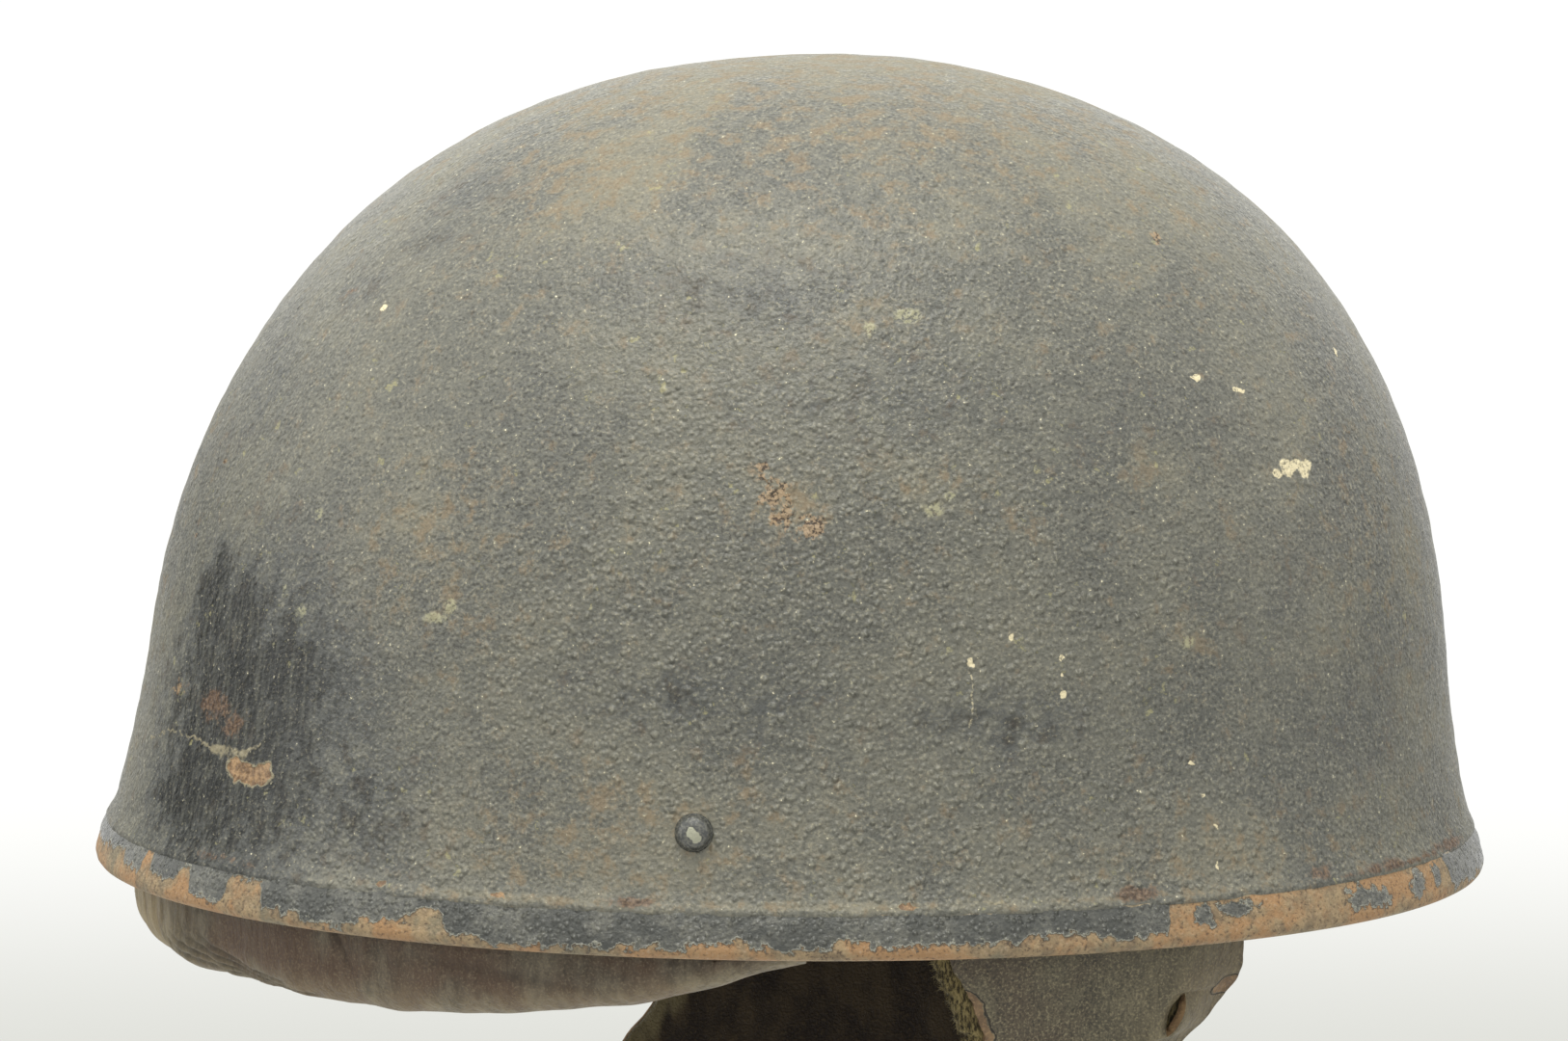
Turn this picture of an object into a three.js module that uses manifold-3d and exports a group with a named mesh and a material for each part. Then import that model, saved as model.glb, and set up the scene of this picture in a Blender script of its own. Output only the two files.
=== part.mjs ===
// Dispatch rider's steel helmet with a leather neck curtain and two ear flaps, in millimetres.
// +X points to the front, +Z up, and -Y is the wearer's right side.
// Heights are counted from the rim's lower edge while the pieces are made. The last lines
// move the whole helmet so that the origin lies at the underside of the crown, on a head's top.
import * as THREE from 'three';
import { mergeVertices, toCreasedNormals } from 'three/addons/utils/BufferGeometryUtils.js';
import Module from 'manifold-3d';

const wasm = await Module();
wasm.setup();

// Bowl: overall sizes, and the exponents that round its shoulder and its top
const crownHeight = 165;
const frontReach = 136;
const backReach = 133.2;
const sideReach = 111.5;
const backSwell = 1;
const crownLean = 7.5;
const frontShoulderPower = 2.7;
const backShoulderPower = 2.92;
const topPower = 2.12;
const steelWall = 1.2;
const bowlEdgeHeight = 2.3;

// The bowl's lower edge turns outwards a little
const frontFlare = 7.4;
const backFlare = 8.8;
const sideFlare = 5.9;
const flareHeight = 45;
const frontFlarePower = 2;
const backFlarePower = 1.6;

// Folded steel binding round the lower edge
const bandOuterLeg = 9;
const bandInnerLeg = 6;
const bandWall = 0.9;
const gap = 0.3;

// Leather and felt
const bandLeather = 2;
const curtainLeather = 2;
const flapLeather = 1.8;
const rightFelt = 2.5;
const leftPile = 4;
const hiddenRingLow = 10;
const hiddenRingHigh = 34;
const leatherTop = 20;
const hangHeight = 12;

// Side rivets
const rivetHeight = 23.4;
const rivetHeadRadius = 3.7;
const rivetHeadHeight = 2.5;
const rivetShankRadius = 1.6;
const rivetTailRadius = 3.2;
const rivetTailHeight = 1.2;

// Facets
const stepsAround = 64;
const stepsUp = 18;
const curtainColumns = 44;
const creaseAngle = Math.PI / 5;
const weldDistance = 1e-4;

// Depths below the bowl's outer skin at which each layer starts
const bandOuterDepth = -gap - bandWall;
const bandInnerDepth = steelWall + gap + bandWall;
const ringDepth = steelWall + gap;
const leatherDepth = ringDepth + bandLeather + gap;
const rightFeltDepth = leatherDepth + flapLeather + gap;
const leftPileDepth = leatherDepth + flapLeather + gap;

// The curtain's lower edge from the middle of the back: how far it drops and how wide it rolls
const curtainHem = [
  { turn: 0, drop: 18.5, roll: 10 },
  { turn: 22, drop: 16.6, roll: 9.5 },
  { turn: 45, drop: 15.8, roll: 8.5 },
  { turn: 62, drop: 16.6, roll: 8 },
  { turn: 75, drop: 14, roll: 7.5 },
  { turn: 84, drop: 11.3, roll: 7 },
  { turn: 91, drop: 7.6, roll: 6 },
  { turn: 99, drop: 0.6, roll: 5 },
];
const rightCurtainTurn = 99;
const leftCurtainTurn = 78;
const rollTurn = 5 * Math.PI / 6;

// Soft folds pressed into the hanging curtain; turn is counted towards the wearer's right
const curtainFolds = [
  { turn: -52, width: 9, depth: 1.6 },
  { turn: -20, width: 7, depth: 1.2 },
  { turn: 24, width: 6, depth: 1.5 },
  { turn: 41, width: 5, depth: 1.4 },
  { turn: 63, width: 12, depth: 0.9 },
];

// Outlines of the flaps and their linings: the rear and the front edge along X at each height
const rightFlapOutline = [
  { height: 20, rear: 47, front: 102 },
  { height: 8, rear: 47.5, front: 102 },
  { height: -2, rear: 48.5, front: 101.5 },
  { height: -9, rear: 52.5, front: 101 },
  { height: -13, rear: 53.8, front: 96.8 },
  { height: -16, rear: 54.7, front: 95.6 },
  { height: -21, rear: 56, front: 89.5 },
  { height: -32, rear: 58, front: 88 },
  { height: -46, rear: 59.5, front: 87 },
  { height: -57, rear: 62.5, front: 84.5 },
  { height: -61, rear: 68, front: 79 },
];
const rightFeltOutline = [
  { height: 20, rear: 44, front: 93 },
  { height: -2, rear: 45, front: 92.5 },
  { height: -8, rear: 48, front: 91 },
  { height: -13, rear: 49.8, front: 88.5 },
  { height: -18, rear: 51.6, front: 84.5 },
  { height: -28, rear: 55, front: 82.5 },
  { height: -44, rear: 63, front: 81.5 },
];
const leftFlapOutline = [
  { height: 20, rear: -16, front: 83 },
  { height: 0, rear: -17, front: 83 },
  { height: -24, rear: -24, front: 82 },
  { height: -40, rear: -36, front: 79.5 },
  { height: -52, rear: -45.6, front: 75.5 },
  { height: -61, rear: -53, front: 70 },
  { height: -74, rear: -58, front: 62.5 },
  { height: -87, rear: -56, front: 53 },
  { height: -98, rear: -45, front: 39 },
  { height: -105, rear: -25, front: 18 },
];

// The pile ends a little inside the left flap's edge
const pileShare = 0.985;

// How far the flaps lean in towards the cheek, for each millimetre that they hang
const rightLean = 0.1;
const leftLean = 0.14;
const frontCurl = { start: 0.86, depth: 3.5 };

// The slot for a strap near the front edge of the right flap
const strapSlot = { x: 89, height: -15, length: 8, width: 2 };

const radians = THREE.MathUtils.degToRad;
const lerp = THREE.MathUtils.lerp;

/** A smooth curve through one column of the curtain's table, read at a turn. */
function hemCurve(column) {
  const turns = curtainHem.map((row) => row.turn);
  const curve = new THREE.CubicInterpolant(turns, curtainHem.map((row) => row[column]), 1);
  return (turn) => curve.evaluate(turn)[0];
}

/** A point of the bowl's outer skin; rise is 0 at the rim and 1 at the top of the crown. */
function bowlSkin(angle, rise) {
  const forward = (1 + Math.cos(angle)) / 2;
  const shoulderPower = lerp(backShoulderPower, frontShoulderPower, forward);
  const flarePower = lerp(backFlarePower, frontFlarePower, forward);
  const dome = (1 - rise ** shoulderPower) ** (1 / topPower);
  const flare = Math.max(0, 1 - rise * crownHeight / flareHeight) ** flarePower;
  const ahead = Math.cos(angle) > 0;
  const reach = ahead ? frontReach * dome : backReach * dome + backSwell * Math.sin(2 * Math.PI * rise);
  const reachFlare = ahead ? frontFlare : backFlare;
  return new THREE.Vector3(
    (reach + reachFlare * flare) * Math.cos(angle) + crownLean * rise,
    (sideReach * dome + sideFlare * flare) * Math.sin(angle),
    rise * crownHeight,
  );
}

/** The direction that points straight out of the bowl's skin. */
function bowlNormal(angle, rise) {
  const step = 1e-4;
  const around = bowlSkin(angle + step, rise).sub(bowlSkin(angle - step, rise));
  const above = bowlSkin(angle, Math.min(rise + step, 1));
  const upward = above.sub(bowlSkin(angle, Math.max(rise - step, 0)));
  const normal = around.cross(upward);
  return rise >= 1 ? new THREE.Vector3(0, 0, 1) : normal.normalize();
}

/** A point at a depth below the bowl's outer skin. */
function bowlPoint(angle, height, depth) {
  const rise = THREE.MathUtils.clamp(height / crownHeight, 0, 1);
  return bowlSkin(angle, rise).addScaledVector(bowlNormal(angle, rise), -depth);
}

/** A point of leather that follows the wall down to hangHeight and hangs free below it. */
function hangingPoint(angle, height, depth, inward = 0) {
  const point = bowlPoint(angle, Math.max(height, hangHeight), depth);
  const inside = bowlNormal(angle, hangHeight / crownHeight).setZ(0).normalize();
  point.z += Math.min(0, height - hangHeight);
  return point.addScaledVector(inside, -inward);
}

/**
 * A closed wall. place(u, v, side) gives its outer face at side 0 and its inner face at side 1.
 * A ring closes on itself along u, and a wall with a pole ends in one point at v = 1.
 */
function wallGeometry({ columns, rows, place, ring = false, pole = false }) {
  const across = ring ? columns : columns + 1;
  const perSide = across * (rows + 1);
  const positions = [];
  for (const side of [0, 1]) {
    for (let j = 0; j <= rows; j += 1) {
      for (let i = 0; i < across; i += 1) {
        positions.push(...place(i / columns, j / rows, side).toArray());
      }
    }
  }
  const at = (side, i, j) => side * perSide + j * across + (pole && j === rows ? 0 : i % across);
  const triangles = [];
  const triangle = (...corners) => {
    if (new Set(corners).size === 3) triangles.push(...corners);
  };
  const quad = (a, b, c, d) => {
    triangle(a, b, c);
    triangle(a, c, d);
  };
  for (let i = 0; i < columns; i += 1) {
    for (let j = 0; j < rows; j += 1) {
      quad(at(0, i, j), at(0, i + 1, j), at(0, i + 1, j + 1), at(0, i, j + 1));
      quad(at(1, i, j), at(1, i, j + 1), at(1, i + 1, j + 1), at(1, i + 1, j));
    }
    quad(at(0, i + 1, 0), at(0, i, 0), at(1, i, 0), at(1, i + 1, 0));
    if (!pole) quad(at(0, i, rows), at(0, i + 1, rows), at(1, i + 1, rows), at(1, i, rows));
  }
  for (let j = 0; j < rows && !ring; j += 1) {
    quad(at(0, 0, j), at(0, 0, j + 1), at(1, 0, j + 1), at(1, 0, j));
    quad(at(0, columns, j + 1), at(0, columns, j), at(1, columns, j), at(1, columns, j + 1));
  }
  const geometry = new THREE.BufferGeometry();
  geometry.setAttribute('position', new THREE.Float32BufferAttribute(positions, 3));
  geometry.setIndex(triangles);
  return faceOutward(mergeVertices(geometry, weldDistance));
}

/** Turns every triangle round if the closed body is inside out. */
function faceOutward(geometry) {
  const { array } = geometry.index;
  const corner = (index) => new THREE.Vector3().fromBufferAttribute(geometry.attributes.position, index);
  let volume = 0;
  for (let i = 0; i < array.length; i += 3) {
    volume += corner(array[i]).dot(corner(array[i + 1]).cross(corner(array[i + 2])));
  }
  if (volume > 0) return geometry;
  for (let i = 0; i < array.length; i += 3) {
    [array[i], array[i + 1]] = [array[i + 1], array[i]];
  }
  return geometry;
}

/** A solid for cutting, from a closed geometry. */
function solidOf(geometry) {
  const plain = geometry.clone();
  plain.deleteAttribute('normal');
  plain.deleteAttribute('uv');
  const merged = mergeVertices(plain, weldDistance);
  const mesh = new wasm.Mesh({
    numProp: 3,
    vertProperties: new Float32Array(merged.attributes.position.array),
    triVerts: new Uint32Array(merged.index.array),
  });
  return new wasm.Manifold(mesh);
}

/** What is left of a body when tools are cut out of it. */
function cut(geometry, ...tools) {
  const rest = tools.reduce((body, tool) => body.subtract(solidOf(tool)), solidOf(geometry));
  const mesh = rest.getMesh();
  const result = new THREE.BufferGeometry();
  result.setAttribute('position', new THREE.BufferAttribute(mesh.vertProperties, 3));
  result.setIndex(new THREE.BufferAttribute(mesh.triVerts, 1));
  return result;
}

/** A geometry whose +Y axis is laid along the wall's outward direction at a rivet. */
function atRivet(geometry, angle) {
  const rise = rivetHeight / crownHeight;
  const outward = bowlNormal(angle, rise);
  const turn = new THREE.Quaternion().setFromUnitVectors(new THREE.Vector3(0, 1, 0), outward);
  const place = bowlSkin(angle, rise);
  return geometry.applyMatrix4(new THREE.Matrix4().compose(place, turn, new THREE.Vector3(1, 1, 1)));
}

/** The drills for both rivets. */
function rivetDrills() {
  const drillLength = 20;
  const drillSides = 16;
  const radius = rivetShankRadius + gap;
  return [-Math.PI / 2, Math.PI / 2].map((angle) => (
    atRivet(new THREE.CylinderGeometry(radius, radius, drillLength, drillSides), angle)));
}

/** The pressed steel bowl. */
function shellGeometry() {
  const lowest = bowlEdgeHeight / crownHeight;
  const place = (u, v, side) => {
    const turn = Math.PI / 2 * v ** (backShoulderPower / 2);
    const rise = lerp(lowest, 1, Math.sin(turn) ** (2 / backShoulderPower));
    return bowlPoint(u * Math.PI * 2, rise * crownHeight, side * steelWall);
  };
  const bowl = wallGeometry({ columns: stepsAround, rows: stepsUp, place, ring: true, pole: true });
  return cut(bowl, ...rivetDrills());
}

/** The folded binding: down its outer leg, round under the bowl's edge and up its inner leg. */
function rimBandGeometry() {
  const foldSteps = 4;
  const legRows = 1;
  const rows = foldSteps + 2 * legRows;
  const middleDepth = (bandOuterDepth + bandInnerDepth) / 2;
  const foldRadius = (bandInnerDepth - bandOuterDepth) / 2;
  const place = (u, v, side) => {
    const row = v * rows;
    const turn = THREE.MathUtils.clamp(row - legRows, 0, foldSteps) / foldSteps * Math.PI;
    const radius = foldRadius - side * bandWall;
    const depth = middleDepth - radius * Math.cos(turn);
    let height = foldRadius - radius * Math.sin(turn);
    if (row < legRows) height = bandOuterLeg;
    if (row > rows - legRows) height = bandInnerLeg;
    return bowlPoint(u * Math.PI * 2, height, depth);
  };
  return wallGeometry({ columns: stepsAround, rows, place, ring: true });
}

/** The hidden ring of leather that carries the curtain and the flaps. */
function leatherBandGeometry() {
  const place = (u, v, side) => (
    bowlPoint(u * Math.PI * 2, lerp(hiddenRingLow, hiddenRingHigh, v), ringDepth + side * bandLeather));
  const ring = wallGeometry({ columns: stepsAround, rows: 2, place, ring: true });
  return cut(ring, ...rivetDrills());
}

/** How far the curtain is pressed inwards at a turn from the middle of the back. */
function foldDepth(turn) {
  return curtainFolds.reduce((sum, fold) => (
    sum + fold.depth * Math.exp(-(((turn - fold.turn) / fold.width) ** 2))), 0);
}

/** The neck curtain: down the wall, free below it, and rolled inwards along its lower edge. */
function neckCurtainGeometry() {
  const hangRows = 3;
  const rollRows = 4;
  const rows = hangRows + rollRows;
  const drop = hemCurve('drop');
  const roll = hemCurve('roll');
  const place = (u, v, side) => {
    const turn = lerp(-leftCurtainTurn, rightCurtainTurn, u);
    const along = turn < 0 ? -turn / leftCurtainTurn * rightCurtainTurn : turn;
    const angle = Math.PI + radians(turn);
    const radius = roll(along);
    const rollHeight = radius - drop(along);
    const row = v * rows;
    const rolled = Math.max(0, row - hangRows) / rollRows * rollTurn;
    const wall = side * curtainLeather;
    const pressed = foldDepth(turn) * THREE.MathUtils.smoothstep(row, 1, hangRows);
    if (row <= 1) return hangingPoint(angle, lerp(leatherTop, hangHeight, row), leatherDepth + wall);
    if (row <= hangRows) {
      const height = lerp(hangHeight, rollHeight, (row - 1) / (hangRows - 1));
      return hangingPoint(angle, height, leatherDepth + wall, pressed);
    }
    const inward = radius - (radius - wall) * Math.cos(rolled) + pressed;
    const height = rollHeight - (radius - wall) * Math.sin(rolled);
    return hangingPoint(angle, height, leatherDepth, inward);
  };
  return wallGeometry({ columns: curtainColumns, rows, place });
}

/** The plan angle at which the bowl, at a height, lies at x; side is -1 on the wearer's right. */
function angleAtX(x, height, side) {
  const rise = Math.max(height, hangHeight) / crownHeight;
  const ahead = x > crownLean * rise;
  const reach = Math.abs(bowlSkin(ahead ? 0 : Math.PI, rise).x - crownLean * rise);
  return side * Math.acos((x - crownLean * rise) / reach);
}

/** A point of hanging leather that lies at x itself, whatever its depth moves it along X. */
function hangingAtX(x, height, side, depth, inward) {
  const tries = 4;
  let aim = x;
  let point = new THREE.Vector3();
  for (let i = 0; i < tries; i += 1) {
    point = hangingPoint(angleAtX(aim, height, side), height, depth, inward);
    aim += x - point.x;
  }
  return point;
}

/** A flap or a lining from the table of its edges, hung inside the wall at a depth. */
function flapGeometry({ outline, side, depth, wall, lean, curl, columns }) {
  const rows = outline.length - 1;
  const place = (u, v, face) => {
    const { height, rear, front } = outline[Math.round(v * rows)];
    const x = lerp(rear, front, u);
    const hung = Math.max(0, hangHeight - height);
    const nearFront = THREE.MathUtils.smoothstep(u, frontCurl.start, 1);
    const curled = curl * nearFront * Math.min(1, hung / hangHeight);
    return hangingAtX(x, height, side, depth + face * wall, lean * hung + curled);
  };
  return wallGeometry({ columns, rows, place });
}

/** A lens-shaped slot, laid along the wall's outward direction near the flap's front edge. */
function strapSlotGeometry() {
  const halfLength = strapSlot.length / 2;
  const cutterLength = 12;
  const lens = new THREE.Shape();
  lens.moveTo(0, -halfLength);
  lens.quadraticCurveTo(strapSlot.width, 0, 0, halfLength);
  lens.quadraticCurveTo(-strapSlot.width, 0, 0, -halfLength);
  const settings = { depth: cutterLength, bevelEnabled: false, curveSegments: 4 };
  const cutter = new THREE.ExtrudeGeometry(lens, settings);
  const angle = angleAtX(strapSlot.x, strapSlot.height, -1);
  const inward = rightLean * (hangHeight - strapSlot.height);
  const place = hangingAtX(strapSlot.x, strapSlot.height, -1, leatherDepth, inward);
  const outward = bowlNormal(angle, hangHeight / crownHeight).setZ(0).normalize();
  cutter.translate(0, 0, -cutterLength / 2);
  cutter.rotateX(Math.PI / 2);
  cutter.rotateZ(Math.atan2(outward.y, outward.x) + Math.PI / 2);
  return cutter.translate(place.x, place.y, place.z);
}

/** The leather of the right flap with its slot. */
function rightCheekFlapGeometry() {
  const leather = flapGeometry({
    outline: rightFlapOutline,
    side: -1,
    depth: leatherDepth,
    wall: flapLeather,
    lean: rightLean,
    curl: frontCurl.depth,
    columns: 12,
  });
  return cut(leather, strapSlotGeometry());
}

/** The felt behind the right flap, which stands out past the flap's rear edge. */
function rightFlapLiningGeometry() {
  return flapGeometry({
    outline: rightFeltOutline,
    side: -1,
    depth: rightFeltDepth,
    wall: rightFelt,
    lean: rightLean,
    curl: 0,
    columns: 8,
  });
}

/** The leather of the left flap, a broad lobe. */
function leftEarFlapGeometry() {
  return flapGeometry({
    outline: leftFlapOutline,
    side: 1,
    depth: leatherDepth,
    wall: flapLeather,
    lean: leftLean,
    curl: 0,
    columns: 14,
  });
}

/** The pile lining on the inner side of the left flap. */
function leftFlapLiningGeometry() {
  const outline = leftFlapOutline.map(({ height, rear, front }) => (
    { height: height * pileShare, rear: rear * pileShare, front: front * pileShare }));
  return flapGeometry({
    outline,
    side: 1,
    depth: leftPileDepth,
    wall: leftPile,
    lean: leftLean,
    curl: 0,
    columns: 14,
  });
}

/** A rivet: domed head outside, shank through bowl and hidden ring, flattened tail inside. */
function rivetGeometry(angle) {
  const domeSteps = 4;
  const rivetSides = 16;
  const tailLow = -(leatherDepth + rivetTailHeight);
  const dome = Array.from({ length: domeSteps + 1 }, (_, step) => {
    const turn = step / domeSteps * Math.PI / 2;
    return new THREE.Vector2(rivetHeadRadius * Math.cos(turn), gap + rivetHeadHeight * Math.sin(turn));
  });
  const profile = [
    new THREE.Vector2(0, tailLow),
    new THREE.Vector2(rivetTailRadius, tailLow),
    new THREE.Vector2(rivetTailRadius, -leatherDepth),
    new THREE.Vector2(rivetShankRadius, -leatherDepth),
    new THREE.Vector2(rivetShankRadius, gap),
    ...dome.slice(0, -1),
    new THREE.Vector2(0, gap + rivetHeadHeight),
  ];
  return atRivet(new THREE.LatheGeometry(profile, rivetSides), angle);
}

/** A plain finish from its colour, roughness and metalness. */
function finish(color, roughness, metalness) {
  return new THREE.MeshStandardMaterial({ color, roughness, metalness });
}

const blackGreenPaint = () => finish(0x4a4b45, 0.55, 0.25);
const rustedBinding = () => finish(0x6a4c38, 0.7, 0.3);
const paintedRivet = () => finish(0x3c3e3b, 0.4, 0.4);
const greyLeather = () => finish(0x5d5249, 0.75, 0);
const khakiFelt = () => finish(0x6e6547, 0.95, 0);
const darkPile = () => finish(0x2a2118, 0.95, 0);

/** A named piece of the helmet. */
function piece(name, geometry, material) {
  const mesh = new THREE.Mesh(toCreasedNormals(geometry, creaseAngle), material);
  mesh.name = name;
  return mesh;
}

const helmet = new THREE.Group();
helmet.add(
  piece('shell', shellGeometry(), blackGreenPaint()),
  piece('rim_band', rimBandGeometry(), rustedBinding()),
  piece('right_rivet', rivetGeometry(-Math.PI / 2), paintedRivet()),
  piece('left_rivet', rivetGeometry(Math.PI / 2), paintedRivet()),
  piece('leather_band', leatherBandGeometry(), greyLeather()),
  piece('neck_curtain', neckCurtainGeometry(), greyLeather()),
  piece('right_cheek_flap', rightCheekFlapGeometry(), greyLeather()),
  piece('right_flap_lining', rightFlapLiningGeometry(), khakiFelt()),
  piece('left_ear_flap', leftEarFlapGeometry(), greyLeather()),
  piece('left_flap_lining', leftFlapLiningGeometry(), darkPile()),
);
helmet.position.set(-crownLean, 0, steelWall - crownHeight);

export default helmet;
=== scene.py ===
# %% [markdown]
# # A dispatch rider's steel helmet
# This is a motorcyclist's helmet: a pressed steel bowl with a folded binding round its edge, one
# rivet on each side, a leather curtain over the neck and two lined leather flaps over the ears.
# It has been used hard, so the paint is dusty, pebbled, chipped and rusty, and the leather is dry.
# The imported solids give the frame: +X is the helmet's front, +Z is up and -Y is the wearer's right.
# Every piece below is a finer mesh made in the place of one of those solids.

# %% Load the frame
import math
from functools import partial

import bmesh
import bpy
import numpy as np
from mathutils import Matrix, Vector, noise


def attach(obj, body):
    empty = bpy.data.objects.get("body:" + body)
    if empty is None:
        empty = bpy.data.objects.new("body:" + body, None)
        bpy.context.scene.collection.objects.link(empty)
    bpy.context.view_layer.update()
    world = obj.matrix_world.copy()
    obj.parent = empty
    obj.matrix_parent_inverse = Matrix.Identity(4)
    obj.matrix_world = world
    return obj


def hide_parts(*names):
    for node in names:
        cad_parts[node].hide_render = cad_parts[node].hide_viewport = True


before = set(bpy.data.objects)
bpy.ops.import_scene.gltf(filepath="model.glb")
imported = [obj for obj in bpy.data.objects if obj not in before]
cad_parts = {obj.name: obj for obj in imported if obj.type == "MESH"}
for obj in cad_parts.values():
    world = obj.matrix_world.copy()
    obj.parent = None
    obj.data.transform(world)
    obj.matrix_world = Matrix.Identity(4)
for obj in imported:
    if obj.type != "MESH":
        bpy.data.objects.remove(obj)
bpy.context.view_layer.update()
print("packed nodes:", sorted(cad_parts))

# %% [markdown]
# ## Sizes
# A helmet maker would start from the press tool, and so does this file. The bowl is a formula with
# a few sizes: how far it reaches to the front, back and sides, how round its shoulder is, and how
# much its lower edge flares. Everything else is hung on that formula, so nothing needs fitting.

# %% Named sizes
mm = 0.001
crown_height = 165 * mm
front_reach = 136 * mm
back_reach = 133.2 * mm
side_reach = 111.5 * mm
back_swell = 1 * mm
crown_lean = 7.5 * mm
front_shoulder_power = 2.7
back_shoulder_power = 2.92
top_power = 2.12
front_flare = 7.4 * mm
back_flare = 8.8 * mm
side_flare = 5.9 * mm
flare_height = 45 * mm
front_flare_power = 2
back_flare_power = 1.6
steel_wall = 1.2 * mm
bowl_edge_height = 2.3 * mm
rim_drop = crown_height - steel_wall
gap = 0.3 * mm
binding_wall = 0.9 * mm
binding_inner_leg = 6 * mm
ring_leather = 2 * mm
curtain_leather = 2 * mm
flap_leather = 1.8 * mm
felt_thickness = 2.5 * mm
leather_top = 20 * mm
hang_height = 12 * mm
ring_depth = steel_wall + gap
leather_depth = ring_depth + ring_leather + gap
lining_depth = leather_depth + flap_leather + gap

# %% [markdown]
# ## The bowl as a formula
# `bowl_skin` gives the place of the outer skin for an angle seen from above and a rise from the rim
# to the crown. The normal comes from two small steps on the skin. With both, any layer can be laid
# at a depth below the paint, which is how the binding, the ring and the leather are placed.

# %% Bowl formula
def lerp(start, end, share):
    """A value between two others."""
    return start + (end - start) * share


def smooth_step(value, low, high):
    """0 below low, 1 above high and a soft ramp between them."""
    share = min(1.0, max(0.0, (value - low) / (high - low)))
    return share * share * (3 - 2 * share)


def bell(value, middle, width):
    """1 in the middle, falling softly to both sides."""
    return math.exp(-(((value - middle) / width) ** 2))


def bowl_skin(angle, rise):
    """A point of the bowl's outer skin; rise is 0 at the rim and 1 at the top of the crown."""
    forward = (1 + math.cos(angle)) / 2
    shoulder_power = lerp(back_shoulder_power, front_shoulder_power, forward)
    flare_power = lerp(back_flare_power, front_flare_power, forward)
    dome = max(0.0, 1 - rise**shoulder_power) ** (1 / top_power)
    flare = max(0.0, 1 - rise * crown_height / flare_height) ** flare_power
    if math.cos(angle) > 0:
        reach = front_reach * dome + front_flare * flare
    else:
        reach = back_reach * dome + back_swell * math.sin(2 * math.pi * rise) + back_flare * flare
    across = side_reach * dome + side_flare * flare
    x = reach * math.cos(angle) + crown_lean * (rise - 1)
    return Vector((x, across * math.sin(angle), rise * crown_height - rim_drop))


def bowl_normal(angle, rise):
    """The direction that points straight out of the bowl's skin."""
    step = 1e-4
    if rise >= 1 - step:
        return Vector((0, 0, 1))
    around = bowl_skin(angle + step, rise) - bowl_skin(angle - step, rise)
    upward = bowl_skin(angle, rise + step) - bowl_skin(angle, max(0.0, rise - step))
    return around.cross(upward).normalized()


def bowl_point(angle, height, depth):
    """A point at a depth below the bowl's skin, at a height above the rim's lower edge."""
    rise = min(1.0, max(0.0, height / crown_height))
    return bowl_skin(angle, rise) - bowl_normal(angle, rise) * depth


print("rim reaches in mm:", [round(1000 * c) for c in bowl_skin(0, 0)])

# %% [markdown]
# ## The camera
# The photographer stood level with the helmet's right side, a little towards its front and a little
# above the rim. A long lens from 1.3 m away keeps the rim's near curve shallow, as in the picture.
# The lens follows from how many pixels of the picture one millimetre of the helmet covers.

# %% Camera
def in_scene(name, data):
    """An object with this data, at the origin of the scene."""
    made = bpy.data.objects.new(name, data)
    bpy.context.scene.collection.objects.link(made)
    return made


picture_width = 1626
sensor_width = 36
camera_turn = math.radians(9.04)
camera_rise = math.radians(6.88)
camera_distance = 1.309
pixels_per_mm = 5.047
camera_target = Vector((-7.16 * mm, 0, -94.4 * mm))

camera_data = bpy.data.cameras.new("camera")
camera_data.sensor_width = sensor_width
camera_data.lens = pixels_per_mm * camera_distance / mm * sensor_width / picture_width
camera = in_scene("camera", camera_data)
towards_camera = Vector((
    math.sin(camera_turn) * math.cos(camera_rise),
    -math.cos(camera_turn) * math.cos(camera_rise),
    math.sin(camera_rise),
))
camera.location = camera_target + towards_camera * camera_distance
camera.rotation_euler = (-towards_camera).to_track_quat("-Z", "Y").to_euler()
camera_data.clip_start = 0.05
camera_data.clip_end = 100
bpy.context.scene.camera = camera
print("lens in mm:", round(camera_data.lens, 1))

# %% [markdown]
# ## Node helpers
# Materials in Blender are small graphs. A few helpers keep them readable: `add` makes a node and
# fills its inputs with numbers or with links, and the others are the patterns that every finish
# here uses: noise at a real size, a soft threshold, sums, and coats of colour over one another.
# A socket knows its own graph as `id_data`, so the helpers find it from what they are given.

# %% Node helpers
def add(near, kind, inputs=None, **settings):
    """A new node in the graph of near, with its settings and its inputs filled in."""
    tree = near.id_data
    made = tree.nodes.new(kind)
    for name, value in settings.items():
        setattr(made, name, value)
    for name, value in (inputs or {}).items():
        if isinstance(value, bpy.types.NodeSocket):
            tree.links.new(value, made.inputs[name])
        else:
            made.inputs[name].default_value = value
    return made


def place_of(near, stretch=(1, 1, 1)):
    """Object coordinates, stretched; the objects sit at the origin, so these are metres."""
    where = add(near, "ShaderNodeTexCoord").outputs["Object"]
    return add(near, "ShaderNodeMapping", {"Vector": where, "Scale": stretch}).outputs["Vector"]


def painted_on(near, layer):
    """A layer that was painted on the mesh as an attribute, from 0 to 1."""
    return add(near, "ShaderNodeAttribute", attribute_name=layer).outputs["Fac"]


def speckle(size, where, detail=2.0, roughness=0.5, warp=0.0, output="Fac"):
    """Noise whose blobs are about size metres wide."""
    inputs = {"Vector": where, "Scale": 1 / size, "Detail": detail, "Roughness": roughness}
    inputs["Distortion"] = warp
    return add(where, "ShaderNodeTexNoise", inputs).outputs[output]


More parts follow.
